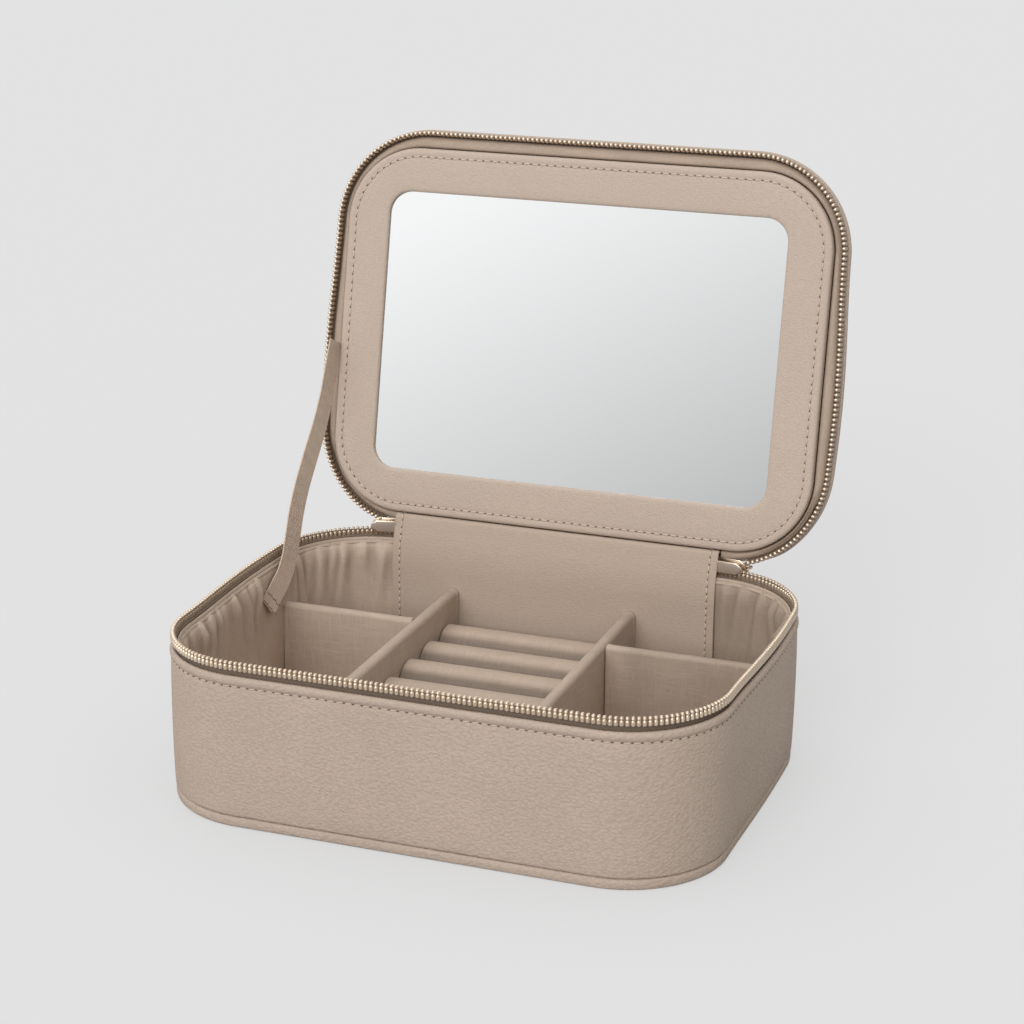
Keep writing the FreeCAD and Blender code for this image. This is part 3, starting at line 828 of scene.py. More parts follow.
def leather(name, colour, pebble, wrinkle, stretch, roughness, bump, contrast):
    """Grained leather with a satin finish."""
    material, tree, shader = new_material(name)
    grain = put(tree, "ShaderNodeGroup",
                {"Vector": object_place(tree, stretch), "Pebble": pebble, "Wrinkle": wrinkle},
                node_tree=shared_group("Leather grain", build_leather_grain))
    tone = spread_tone(tree, grain.outputs["Tone"], low=0.34, high=0.66)
    cover(tree, shader, grain.outputs["Height"], tone, colour, contrast, roughness, bump)
    shader.inputs["Specular IOR Level"].default_value = 0.10
    return material


def case_leather():
    return leather("case_leather", colours().leather, pebble=900.0, wrinkle=2000.0, stretch=(0.8, 0.8, 1.1),
                   roughness=0.48, bump=0.00029, contrast=0.09)


def frame_leather():
    return leather("frame_leather", colours().frame_leather, pebble=1500.0, wrinkle=3000.0,
                   stretch=(0.8, 1.0, 1.0), roughness=0.46, bump=0.00016, contrast=0.06)


def panel_leather():
    return leather("panel_leather", colours().panel, pebble=1300.0, wrinkle=2900.0, stretch=(0.55, 1.0, 1.4),
                   roughness=0.48, bump=0.0001, contrast=0.05)


def cloth(name, colour, turn=(0.0, 0.0, 0.0), source="Object", roughness=0.72, bump=0.00018, contrast=0.09):
    """Woven cloth with a faint sheen."""
    material, tree, shader = new_material(name)
    weave = put(tree, "ShaderNodeGroup", {"Vector": object_place(tree, turn=turn, source=source)},
                node_tree=shared_group("Cloth weave", build_cloth_weave))
    tone = spread_tone(tree, weave.outputs["Tone"], low=0.38, high=0.66)
    cover(tree, shader, weave.outputs["Height"], tone, colour, contrast, roughness, bump)
    shader.inputs["Specular IOR Level"].default_value = 0.16
    shader.inputs["Sheen Weight"].default_value = 0.05
    shader.inputs["Sheen Roughness"].default_value = 0.45
    return material


def lining_cloth():
    """Lining cloth, whose threads follow the map of the gathered sheet, with painted shade in the hollows of
    its folds and in the right-hand compartments.
    """
    material = cloth("lining_cloth", colours().lining, turn=(QUARTER, 0.0, 0.0), source="UV", roughness=0.62)
    # Painted shade in the hollows of the folds
    crease_shade = put(material.node_tree, "ShaderNodeAttribute", attribute_name="crease_shade")
    paint_shade(material, crease_shade.outputs["Fac"], factor=0.72)
    shade_right(material, factor=0.70)
    return material


def shade_right(material, factor):
    """Paints shade into a cloth of the inside: a little darker in the right-hand compartments."""
    paint_shade_between(material, "Object", "X", start=36.0 * MM, end=50.0 * MM, factor=factor)


def padded_cloth():
    return cloth("padded_cloth", colours().lining)


def divider_cloth():
    material = cloth("divider_cloth", colours().divider, roughness=0.62)
    # Painted shade: darker in the right-hand compartments
    shade_right(material, factor=0.80)
    return material


def roll_cloth():
    """Cloth of the ring rolls, with threads along and round each roll, and painted shade that darkens each
    roll below its crest.
    """
    material = cloth("roll_cloth", colours().roll, turn=(0.0, QUARTER, 0.0), roughness=0.60)
    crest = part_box("ring_roll_1")[1].z
    # Painted shade: darker down each roll's front, below its crest
    paint_shade_between(material, "Object", "Z", start=crest - 0.6 * MM, end=crest - 3.0 * MM, factor=0.50)
    return material


def gusset_cloth():
    return cloth("gusset_cloth", [0.88 * channel for channel in colours().lining], roughness=0.5)


def build_twill(name):
    """Slanting ribs of a woven tape, as a height and a tone."""
    tree, start, end = open_group(name, {"Ribs": 900.0})
    ribs = put(tree, "ShaderNodeTexWave",
               {"Vector": start.outputs["Vector"], "Scale": start.outputs["Ribs"], "Distortion": 1.2,
                "Detail": 2.0, "Detail Scale": 2.0}, bands_direction="DIAGONAL")
    slow = put(tree, "ShaderNodeTexNoise", {"Vector": start.outputs["Vector"], "Scale": 160.0, "Detail": 3.0})
    tone = math_node(tree, "MULTIPLY_ADD", ribs.outputs["Fac"], 0.45,
                     math_node(tree, "MULTIPLY", slow.outputs["Fac"], 0.55))
    return close_group(tree, end, ribs.outputs["Fac"], tone)


def twill(name, colour, source, ribs, stretch, contrast):
    """Woven tape with slanting ribs."""
    material, tree, shader = new_material(name)
    weave = put(tree, "ShaderNodeGroup", {"Vector": object_place(tree, stretch, source=source), "Ribs": ribs},
                node_tree=shared_group("Twill", build_twill))
    tone = spread_tone(tree, weave.outputs["Tone"], low=0.2, high=0.8)
    cover(tree, shader, weave.outputs["Height"], tone, colour, contrast, roughness=0.66, bump=0.00020)
    shader.inputs["Specular IOR Level"].default_value = 0.18
    return material


def zip_tape_cloth():
    return twill("zip_tape_cloth", colours().tape, "Object", ribs=420.0, stretch=(1.0, 1.0, 1.0),
                 contrast=0.08)


def ribbon_cloth():
    return twill("ribbon_cloth", colours().ribbon, "UV", ribs=300.0, stretch=(1.0, 2.2, 1.0), contrast=0.2)


def speckled(name, colour, specks, detail, contrast, roughness, bump, grit=0.5):
    """Plain surface with fine specks in its tone, gloss and relief; returns it with its shader."""
    material, tree, shader = new_material(name)
    noise = put(tree, "ShaderNodeTexNoise",
                {"Vector": object_place(tree), "Scale": specks, "Detail": detail, "Roughness": grit})
    cover(tree, shader, noise.outputs["Fac"], noise.outputs["Fac"], colour, contrast, roughness, bump)
    return material, shader


def thread():
    """Sewing thread with a fine twist."""
    return speckled("sewing_thread", colours().thread, specks=2600.0, detail=2.0, contrast=0.12,
                    roughness=0.6, bump=0.00008)[0]


def painted_stitch_shade():
    """Dark dents that the thread goes through, with painted shade in them, and the same dark colour for the
    painted shadow beside the stitches.
    """
    dark = [0.28 * channel for channel in colours().leather]
    return speckled("painted_stitch_shade", dark, specks=1800.0, detail=2.0, contrast=0.2, roughness=0.8,
                    bump=0.00005)[0]


def metal(name, roughness):
    """Plated metal with fine rubbing marks."""
    material, shader = speckled(name, colours().gold, specks=900.0, detail=4.0, contrast=0.1,
                                roughness=roughness, bump=0.00003, grit=0.65)
    shader.inputs["Metallic"].default_value = 1.0
    return material


def gold_metal():
    return metal("gold_metal", roughness=0.32)


def tooth_metal():
    """The same metal on the teeth, with painted shade on the sides where they stand close together and on the
    inner side of each tooth.
    """
    material = metal("tooth_metal", roughness=0.46)
    paint_shade_between(material, "UV", "X", start=0.72, end=1.0, factor=0.56)
    paint_shade_between(material, "UV", "Y", start=0.55, end=0.85, factor=0.75)
    return material


def enamel():
    """Taupe enamel on the sliders and pulls."""
    taupe = [0.66 * channel for channel in colours().leather]
    return speckled("taupe_enamel", taupe, specks=700.0, detail=4.0, contrast=0.05, roughness=0.42,
                    bump=0.00002)[0]


def mirror_silver():
    """Silvered glass with the faintest unevenness."""
    material, tree, shader = new_material("mirror_silver")
    haze = put(tree, "ShaderNodeTexNoise", {"Vector": object_place(tree), "Scale": 25.0, "Detail": 2.0})
    tone = put(tree, "ShaderNodeMapRange",
               {"Value": haze.outputs["Fac"], "To Min": 0.012, "To Max": 0.03})
    tree.links.new(tone.outputs["Result"], shader.inputs["Roughness"])
    shader.inputs["Base Color"].default_value = (0.93, 0.94, 0.945, 1.0)
    shader.inputs["Metallic"].default_value = 1.0
    return material


def greyboard():
    """Boards, which the covers hide."""
    return speckled("greyboard", (0.42, 0.37, 0.31), specks=900.0, detail=5.0, contrast=0.15, roughness=0.85,
                    bump=0.0001)[0]


def pale_foam():
    """Foam, which the covers hide."""
    return speckled("pale_foam", (0.70, 0.66, 0.58), specks=1500.0, detail=5.0, contrast=0.15, roughness=0.85,
                    bump=0.0003)[0]


# Pieces

def seam_row(name, places, with_painted_shadow=True):
    """Stitches at each place, with a dark needle hole at their ends, darkened as painted shade, and, if
    asked, a dark line beside them that is a painted shadow.
    """
    pitch, width = sizes().stitch_pitch, sizes().stitch_width
    hole = (0.26 * pitch, 0.72 * width, pitch / 2, 0.0)
    # Painted shadow: a thin dark dash along the upper side of each stitch, standing for the shadow beside the
    # thread
    line = (0.66 * pitch, 0.34 * width, 0.0, 0.46 * width)
    shapes = {"stitches": ((0.80 * pitch, width, 0.0, 0.0),), "holes": (hole, line) if with_painted_shadow else (hole,)}
    rows = []
    for label, beads in shapes.items():
        deselect_objects()
        for number, (length, thick, shift, rise) in enumerate(beads):
            if number:
                deselect_mesh()
            bpy.ops.mesh.primitive_uv_sphere_add(segments=6, ring_count=4, radius=0.5,
                                                 enter_editmode=not number)
            bpy.ops.transform.rotate(value=QUARTER, orient_axis="Y", center_override=(0, 0, 0))
            bpy.ops.transform.resize(value=(length, thick, thick), center_override=(0, 0, 0))
            bpy.ops.transform.rotate(value=math.radians(4), orient_axis="Y", center_override=(0, 0, 0))
            bpy.ops.transform.translate(value=(shift, 0, rise))
        object_mode()
        rows.append(set_copies(bpy.context.object, places, f"{name}_{label}"))
    return rows


def sew(name, places, body, slot, *shapings):
    """Sews a row of stitches with its holes and painted shade, and shapes it like the leather that it goes
    through.
    """
    for row, build in zip(seam_row(name, places), (thread, painted_stitch_shade)):
        for shaping in shapings:
            shaping(row)
        dress(row, body, build, smooth=180.0)


def finish_of(build):
    """The material that a function builds, built the first time that it is asked for."""
    if build not in finishes:
        finishes[build] = build()
    return finishes[build]


def wall_section():
    """Section of the leather wall: in at the seam, a soft belly, the stitched groove and the bead."""
    low, rim = wall_low.z, wall_high.z
    seam = rim - sizes().bead_height
    swell = sizes().bead_swell
    belly_low, belly_high = low + 1.2 * MM, seam - 1.3 * MM
    steps = 10
    section = beside(0, low, ((-1.6, 0), (-0.9, 0), (-0.45, 0.15), (-0.12, 0.55)))
    for step in range(steps + 1):
        share = step / steps
        section.append((sizes().wall_belly * math.sin(math.pi * share) ** 0.7,
                        belly_low + (belly_high - belly_low) * share))
    section += beside(0, seam, ((-0.08, -0.75), (-0.28, -0.35)))
    section.append((-sizes().groove_depth, seam))
    section += beside(0, seam, ((-0.28, 0.35), (-0.05, 0.75)))
    section += [(swell * 0.7, seam + 1.3 * MM), (swell, seam + 2.0 * MM)]
    section += beside(swell, rim, ((-0.08, -1.3), (-0.3, -0.7), (-0.65, -0.25), (-1.1, 0)))
    section += beside(0, rim, ((-1.3, -0.1), (-1.6, -0.5)))
    section.append(section[0])
    return section


# Middle and reach of the bow of the left and right sides, along Y
BOW_MIDDLE, BOW_REACH = 14.0 * MM, 58.0 * MM
# Half the thickness of the zip's tapes, and how far tape and facing run past the back corners
TAPE_HALF, TAPE_LEAD = 0.35 * MM, 1.6 * MM
# How far the sewn zip lies inside the wall, and how far past a parked slider's middle the lid's row starts
ZIP_INSET, SLIDER_ROOM = 2.1 * MM, 3.8 * MM
# Thickness of the hinge panel and strap, and the gap between the strap and what it is sewn to
HINGE_LEATHER, STRAP_GAP = 1.2 * MM, 0.15 * MM
# Faces round each bend of the hinge, and the longest face on its straight runs
BEND_STEPS, BEND_RUN = 8, 3.0 * MM
# Half the slider's mouth, the thickness of its plates, and that of the enamel, half sunk into them
SLIDER_MOUTH, SLIDER_PLATE, INLAY = 1.85 * MM, 0.65 * MM, 0.24 * MM


def bow(piece, still=66.0 * MM, moved=104.0 * MM):
    """Swells the left and right sides of the shut case, most at the zip and not near the middle."""
    for vertex in piece.data.vertices:
        along = min(1.0, abs(vertex.co.y - BOW_MIDDLE) / BOW_REACH)
        out = max(0.0, min(1.0, (abs(vertex.co.x) - still) / (moved - still)))
        rise = 0.4 + 0.6 * min(1.0, vertex.co.z / wall_high.z)
        share = (1 - along * along) ** 2 * out * out * (3 - 2 * out) * rise
        vertex.co.x += math.copysign(sizes().side_bow * share, vertex.co.x)


class CASE_OT_base_shell(bpy.types.Operator):
    """Leather wall with its stitched bead, and the leather bottom"""

    bl_idname = "makeup_case.base_shell"
    bl_label = "Base shell"

    def execute(self, context):
        wall = sweep("base_wall", case.ring(), case.radius, wall_section())
        bow(wall)
        dress(wall, "base", case_leather, ["base_side_cover"], smooth=60.0)
        seam = wall_high.z - sizes().bead_height
        radius = case.radius - sizes().groove_depth + 0.12 * MM
        places = stations(case.ring(), radius, seam, sizes().stitch_pitch)
        sew("base_wall", places, "base", "case_leather", bow)
        self.bottom()
        return {"FINISHED"}

    def bottom(self):
        """Bottom panel, turned up round the foot of the wall."""
        low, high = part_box("base_bottom_panel")
        edge = high.x - wall_high.x
        turn = 1.4 * MM
        section = beside(edge, low.z, ((-6.0, 1.6), (-1.6, 1.6)))
        section += beside(edge, high.z, ((-1.6, -0.2), (-1.3, 0), (-0.5, 0), (-0.1, -0.35), (0.12, -1.2)))
        section += beside(edge, low.z, ((0.12, 2.2),))
        section += arc(edge - turn, low.z + turn, turn, first=0, last=-90, steps=5)
        section += beside(edge, low.z, ((-6.0, 0),))
        panel = sweep("base_bottom", case.ring(), case.radius, section)
        fill_rings(panel)
        bow(panel)
        dress(panel, "base", case_leather, ["base_bottom_panel"], smooth=50.0)


def tooth_piece():
    """One zip tooth: a foot that grips the tape, a notch and a round head."""
    deselect_objects()
    bpy.ops.mesh.primitive_circle_add(vertices=8, radius=0.5, fill_type="NGON", enter_editmode=True)
    tooth = bpy.context.object
    before = Vector((1, 1, 1))
    height = 0.0
    for along, across, rise in TOOTH_RINGS:
        if rise:
            extrude((0, 0, rise * MM))
        height += rise * MM
        size = Vector((along * MM, across * MM, 1))
        bpy.ops.transform.resize(value=[now / old for now, old in zip(size, before)],
                                 center_override=(0, 0, height))
        before = size
    merge_and_face_out()
    along, across = (max(ring[axis] for ring in TOOTH_RINGS) * MM for axis in (0, 1))
    places = [vertex.co for vertex in tooth.data.vertices]
    write_map(tooth, lambda index: (2 * abs(places[index].x) / along, 0.5 + places[index].y / across))
    return tooth


# Rings of one tooth in millimetres: length along the row, width across it and rise from the ring below
TOOTH_RINGS = ((1.72, 2.02, 0.00), (1.78, 2.06, 1.25), (1.60, 1.90, 0.45), (1.16, 1.50, 0.30),
               (1.42, 1.82, 0.36), (1.48, 1.82, 0.40), (1.10, 1.36, 0.36), (0.50, 0.68, 0.16))
TOOTH_HEIGHT = sum(ring[2] for ring in TOOTH_RINGS) * MM
TOOTH_TIP_GAP = 0.65 * MM


def sewn_line():
    """Radius of the line where the zip's tapes are sewn in, at the case's corners."""
    return case.radius - ZIP_INSET


def tooth_line():
    """Radius of the rows of teeth, which lean out of the seams."""
    return sewn_line() + sizes().zip_flare


class CASE_OT_zip(bpy.types.Operator):
    """Tapes, teeth and end stops of the zip on the base and on the lid"""

    bl_idname = "makeup_case.zip"
    bl_label = "Zip"

    def execute(self, context):
        self.base_half()
        self.end_stops()
        self.lid_half()
        return {"FINISHED"}

    def base_half(self):
        """Tape and teeth that stand out of the rim."""
        low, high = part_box("base_zip_tape")
        rim, half, lean = wall_high.z, TAPE_HALF, sizes().zip_flare
        section = [(half, low.z), (half, rim + 1.7 * MM), (lean + half, rim + 2.3 * MM),
                   (lean + half, high.z - 0.2 * MM), (lean, high.z), (lean - half, high.z - 0.2 * MM),
                   (lean - half, rim + 2.5 * MM), (-half, rim + 1.9 * MM), (-half, low.z), (half, low.z)]
        first = -TAPE_LEAD / sewn_line()
        tape = sweep("rim_tape", case.open_back(first), sewn_line(), section, cap=True)
        bow(tape)
        dress(tape, "base", zip_tape_cloth, ["base_zip_tape"])
        foot = zip_height - TOOTH_TIP_GAP - TOOTH_HEIGHT
        first = 1.0 * MM / tooth_line()
        places = stations(case.open_back(first), tooth_line(), foot, sizes().tooth_pitch)
        teeth = set_copies(tooth_piece(), places, "rim_teeth")
        bow(teeth)
        dress(teeth, "base", tooth_metal, ["base_zip_teeth"], smooth=50.0)

    def end_stops(self):
        """Clamps at the two ends of the base's row."""
        turn = -0.8 * MM / tooth_line()
        places = []
        for side in (1, -1):
            angle = QUARTER - side * turn
            point = around(case.corner(side, 1), tooth_line(), angle, zip_height - 2.0 * MM)
            places.append(Matrix.Translation(point) @ Matrix.Rotation(angle + QUARTER, 4, "Z"))
        reach = Vector((0.65, 1.2, 1.5)) * MM
        stop = box_piece("stop", -reach, reach)
        select_edges(stop, lambda first, second: True)
        round_edges(0.45 * MM, segments=3)
        merge_and_face_out()
        stops = set_copies(stop, places, "tape_stops")
        dress(stops, "base", gold_metal, ["zip_end_stops"])

    def lid_half(self):
        """Tape and teeth that stand out of the lid, made shut and turned open."""
        low, high = shut_box("lid_zip_tape")
        half, lean = TAPE_HALF, sizes().zip_flare
        first = self.lid_turn()
        step = zip_height + 5.0 * MM
        section = [(lean + half, low.z + 0.2 * MM), (lean + half, step), (half, step + 0.9 * MM),
                   (half, high.z), (-half, high.z), (-half, step + 0.6 * MM), (lean - half, step - 0.3 * MM),
                   (lean - half, low.z + 0.2 * MM), (lean, low.z), (lean + half, low.z + 0.2 * MM)]
        tape = sweep("lid_tape", case.open_back(first), sewn_line(), section, cap=True)
        bow(tape)
        dress_lid(tape, zip_tape_cloth, ["lid_zip_tape"])
        foot = zip_height + TOOTH_TIP_GAP + TOOTH_HEIGHT
        flip = Matrix.Rotation(math.pi, 4, "X")
        places = stations(case.open_back(first), tooth_line(), foot, sizes().tooth_pitch)
        teeth = set_copies(tooth_piece(), [place @ flip for place in places], "lid_teeth")
        bow(teeth)
        dress_lid(teeth, tooth_metal, ["lid_zip_teeth"], smooth=50.0)

    def lid_turn(self):
        """Turn round the back corner where the lid's row starts, just past the parked slider."""
        return math.asin((sizes().slider_place + SLIDER_ROOM) / tooth_line())


Fold = namedtuple("Fold", "place width depth reach lean")

# The gathered lining: how much longer its cloth is than the wall, how far to each side of a point its creases
# are sought and how strongly their painted shade shows, and how far from the hinge panel its folds are full
FULLNESS, CREASE_SHADE_SIDE, CREASE_SHADE_GAIN, FOLD_START = 1.06, 2.0 * MM, 2.5, 5.0 * MM


def lining_folds():
    """Uneven folds at the four corners and along the left wall, the same on every run."""
    total = sum(leg_length(leg, case.radius) for leg in case.ring())
    pitch = sizes().fold_pitch
    quarter = case.radius * QUARTER
    front = case.reach_x
    back = front + quarter + 2 * case.reach_y
    stretches = ((front - 0.2 * quarter, front + 1.1 * quarter, 0.7),
                 (back - 0.3 * quarter, back + quarter, 1.25),
                 (total - back - quarter, total - back + 0.3 * quarter, 1.0),
                 (total - back + 0.3 * quarter, total - front - 1.1 * quarter, 1.0),
                 (total - front - 1.1 * quarter, total - front + 0.2 * quarter, 0.85))
    chance = random.Random(23)
    folds = []
    for start, end, strength in stretches:
        place = start
        while place < end:
            folds.append(Fold(place, pitch * chance.uniform(0.20, 0.42), strength * chance.uniform(0.45, 1.0),
                              chance.uniform(0.20, 0.90), pitch * chance.uniform(-1.5, 1.5)))
            place += pitch * chance.uniform(0.45, 1.60)
    return folds


def fold_share(folds, travel, level):
    """How far the lining is drawn in, from 0 to 1, at a place round the wall and a level below its top."""
    drawn = 0.0
    for fold in folds:
        off = travel - fold.place - fold.lean * level
        off /= fold.width * (1 + 1.5 * level) * (0.6 if off * fold.lean > 0 else 1.5)
        if abs(off) < 3:
            drawn += fold.depth * math.exp(-off * off - (level / fold.reach) ** 2)
    return drawn * min(1.0, 0.10 + level / 0.11)


class CASE_OT_lining(bpy.types.Operator):
    """Facing strip inside the rim and the gathered lining of the walls"""

    bl_idname = "makeup_case.lining"
    bl_label = "Lining"

    def execute(self, context):
        self.facing()
        self.gathered()
        return {"FINISHED"}

    def facing(self):
        """Plain strip, rolled over at its top edge."""
        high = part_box("base_facing_strip")[1]
        outer = high.x - wall_high.x
        top, foot = wall_high.z + 1.6 * MM, high.z - 0.2 * MM
        section = beside(outer, foot, ((0, 0.3),))
        section += beside(outer, top, ((0, -0.3), (-0.25, 0), (-0.7, -0.1), (-0.95, -0.5), (-1.1, -0.8),
                                       (-0.95, -1.0), (-1.2, -1.2)))
        section += beside(outer, foot, ((-1.75, 0.7), (-1.9, 0.35), (-1.7, 0), (-1.3, -0.1), (0, 0.3)))
        first = -TAPE_LEAD / case.radius
        strip = sweep("rim_facing", case.open_back(first), case.radius, section, cap=True)
        bow(strip)
        dress(strip, "base", gusset_cloth, ["base_facing_strip"])

    def gathered(self):
        """Sheet of lining, drawn up into folds at the corners and along the left wall."""
        low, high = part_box("base_wall_lining")
        high.z = wall_high.z + 0.2 * MM
        inset = high.x - wall_high.x - 0.45 * MM
        rows = 22
        section = [(inset, low.z + (high.z - low.z) * row / rows) for row in range(rows + 1)]
        sheet = sweep("wall_lining", case.ring(), case.radius, section, corner_steps=64, run_step=0.0010)
        travels = [case.travel(vertex.co) for vertex in sheet.data.vertices]
        height = high.z - low.z
        folds = lining_folds()
        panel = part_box("hinge_panel")[1].x - sizes().panel_trim
        cut = []
        # Painted shade: each vertex keeps how deep in the hollow of a crease it lies, and the lining's colour
        # is darkened by that
        crease_shade = sheet.data.attributes.new("crease_shade", "FLOAT", "POINT")
        for vertex, travel in zip(sheet.data.vertices, travels):
            level = (high.z - vertex.co.z) / height
            share = fold_share(folds, travel, level)
            sides = [fold_share(folds, travel + step, level) for step in (-CREASE_SHADE_SIDE, CREASE_SHADE_SIDE)]
            free = self.free(vertex.co, panel)
            deep = CREASE_SHADE_GAIN * (sum(sides) / 2 - share)
            crease_shade.data[vertex.index].value = free * max(0.0, min(1.0, deep))
            cut.append((travel, vertex.co.z))
            tucked = 0.8 * MM * max(0.0, 1 - level / 0.05)
            vertex.co += case_inward(vertex.co) * (share * free * sizes().fold_depth - tucked)
        bow(sheet)
        write_map(sheet, lambda index: cut[index])
        modify(sheet, "SOLIDIFY", thickness=0.5 * MM, offset=0.0)
        dress(sheet, "base", lining_cloth, ["base_wall_lining"], smooth=180.0)

    def free(self, point, panel):
        """How freely the lining folds: 0 behind the hinge panel and at the ribbon's end, else up to 1."""
        beyond = (abs(point.x - sizes().hinge_shift) - panel) / FOLD_START
        if point.y > case.reach_y and beyond < 1:
            return max(0.0, beyond)
        if point.x > 0:
            return 1.0
        return 1 - math.exp(-((point.y - RIBBON_SEWN) / (0.9 * sizes().ribbon_width)) ** 2)


def case_inward(point):
    """Level direction from a point of the wall towards the inside of the case."""
    near = Vector((max(-case.reach_x, min(case.reach_x, point.x)),
                   max(-case.reach_y, min(case.reach_y, point.y)), point.z))
    return (near - point).normalized()


class CASE_OT_dividers(bpy.types.Operator):
    """Floor pad and the four cloth-covered dividers"""

    bl_idname = "makeup_case.dividers"
    bl_label = "Floor and dividers"

    def execute(self, context):
        self.floor()
        for node in ("left_long_divider", "right_long_divider", "left_cross_divider", "right_cross_divider"):
            self.divider(node)
        return {"FINISHED"}

    def floor(self):
        """Pad with a rounded edge and a slight crown."""
        low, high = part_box("floor_pad")
        edge = high.x - wall_high.x
        turn = 0.6 * MM
        section = beside(edge, high.z, ((-26.0, 0), (-8.0, -0.05)))
        section += arc(edge - turn, high.z - 0.75 * MM, turn, first=90, last=0, steps=4)
        section += beside(edge, low.z, ((0, 0.3), (-0.3, 0), (-26.0, 0)))
        pad = sweep("floor_cushion", case.ring(), case.radius, section)
        fill_rings(pad)
        bow(pad)
        dress(pad, "base", padded_cloth, ["floor_pad"], smooth=50.0)

    def divider(self, node):
        """Board wrapped in cloth, with a folded end at each side."""
        low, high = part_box(node)
        size = high - low
        along = 0 if size.x > size.y else 1
        panel = self.wrapped(f"{node}_cover", low, high, along)
        fold, proud = 2.3 * MM, 0.22 * MM
        for end_low, end_high in ((low[along], low[along] + fold), (high[along] - fold, high[along])):
            first, last = low.copy(), high.copy()
            first[along], last[along] = end_low, end_high
            first[1 - along] -= proud
            last[1 - along] += proud
            last.z += 0.1 * MM
            panel = join_pieces([panel, self.wrapped("fold", first, last, along)], panel.name)
        bow(panel)
        dress(panel, "base", divider_cloth, [node], smooth=40.0)

    def wrapped(self, name, low, high, along):
        """Upright board with a round top and soft ends."""
        across = 1 - along
        size = high - low
        board = box_piece(name, low, high)
        select_edges(board, lambda first, second: min(first.z, second.z) > high.z - MERGE
                     and abs(first[across] - second[across]) < MERGE)
        round_edges(0.42 * size[across], segments=6)
        select_edges(board, lambda first, second: abs(first[along] - second[along]) < MERGE
                     and abs(first[along] - (low[along] + high[along]) / 2) > 0.49 * size[along])
        round_edges(0.4 * MM, segments=2)
        merge_and_face_out()
        return board


class CASE_OT_ring_rolls(bpy.types.Operator):
    """Seven foam rolls that hold rings between them"""

    bl_idname = "makeup_case.ring_rolls"
    bl_label = "Ring rolls"

    def execute(self, context):
        for node in sorted(name for name in frame["nodes"] if name.startswith("ring_roll_")):
            roll = self.roll(node)
            dress(roll, "base", roll_cloth, [node], smooth=60.0)
        return {"FINISHED"}

    def roll(self, node):
        """One roll: a half-round crown on upright sides, with soft drawn-in ends."""
        low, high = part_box(node)
        radius = (high.y - low.y) / 2
        middle, half = (low + high) / 2, (high.x - low.x) / 2
        crown = Vector((middle.x, middle.y, high.z - radius))
        deselect_objects()
        bpy.ops.mesh.primitive_cylinder_add(vertices=48, radius=radius, depth=2 * half, enter_editmode=True,
                                            location=crown, rotation=(0, QUARTER, 0))
        roll = bpy.context.object
        roll.name = f"{node}_cover"
        settle_mode(roll)
        select_mesh()
        bpy.ops.mesh.bisect(plane_co=crown, plane_no=(0, 0, 1), clear_inner=True, use_fill=True)
        extrude((0, 0, low.z - high.z + radius))
        merge_and_face_out()
        edit_mode()
        select_edges(roll, lambda first, second: abs(first.x - second.x) < MERGE
                     and abs(first.x - middle.x) > half - MERGE and max(first.z, second.z) > low.z + MERGE)
        round_edges(2.2 * MM, segments=6)
        merge_and_face_out()
        return roll


def settle_mode(piece):
    """Puts an object's place into its mesh and goes back to edit mode."""
    object_mode()
    settle(piece)
    edit_mode()


def strip_piece(name, line, thickness, half_width, columns, middle):
    """Strip of leather along a bent line of (y, z) points, to both sides of a middle, with soft edges."""
    points = [Vector((middle - half_width, y, z)) for y, z in line]
    piece = start_vertex(name, points[0])
    draw_on(points)
    for _ in range(columns):
        extrude((2 * half_width / columns, 0, 0))
    merge_and_face_out()
    modify(piece, "SOLIDIFY", thickness=thickness, offset=0.0)
    modify(piece, "BEVEL", width=0.3 * thickness, segments=3, limit_method="ANGLE",
           angle_limit=math.radians(50))
    return piece


def rounded_line(points, radii, steps):
    """Bent line of (y, z) points with each corner rounded."""
    line = [Vector(points[0])]
    for before, here, after, radius in zip(points, points[1:], points[2:], radii):
        here = Vector(here)
        inward = (Vector(before) - here).normalized()
        outward = (Vector(after) - here).normalized()
        half = inward.angle(outward) / 2
        lead = radius / math.tan(half)
        centre = here + (inward + outward).normalized() * radius / math.sin(half)
        first = (here + inward * lead) - centre
        last = (here + outward * lead) - centre
        for step in range(steps + 1):
            line.append(centre + first.slerp(last, step / steps) * radius)
    line.append(Vector(points[-1]))
    return line


def even_line(line, spacing):
    """The same line with more points on its long runs."""
    fine = [line[0]]
    for here, there in zip(line, line[1:]):
        count = max(1, math.ceil((there - here).length / spacing))
        fine += [here.lerp(there, number / count) for number in range(1, count + 1)]
    return fine


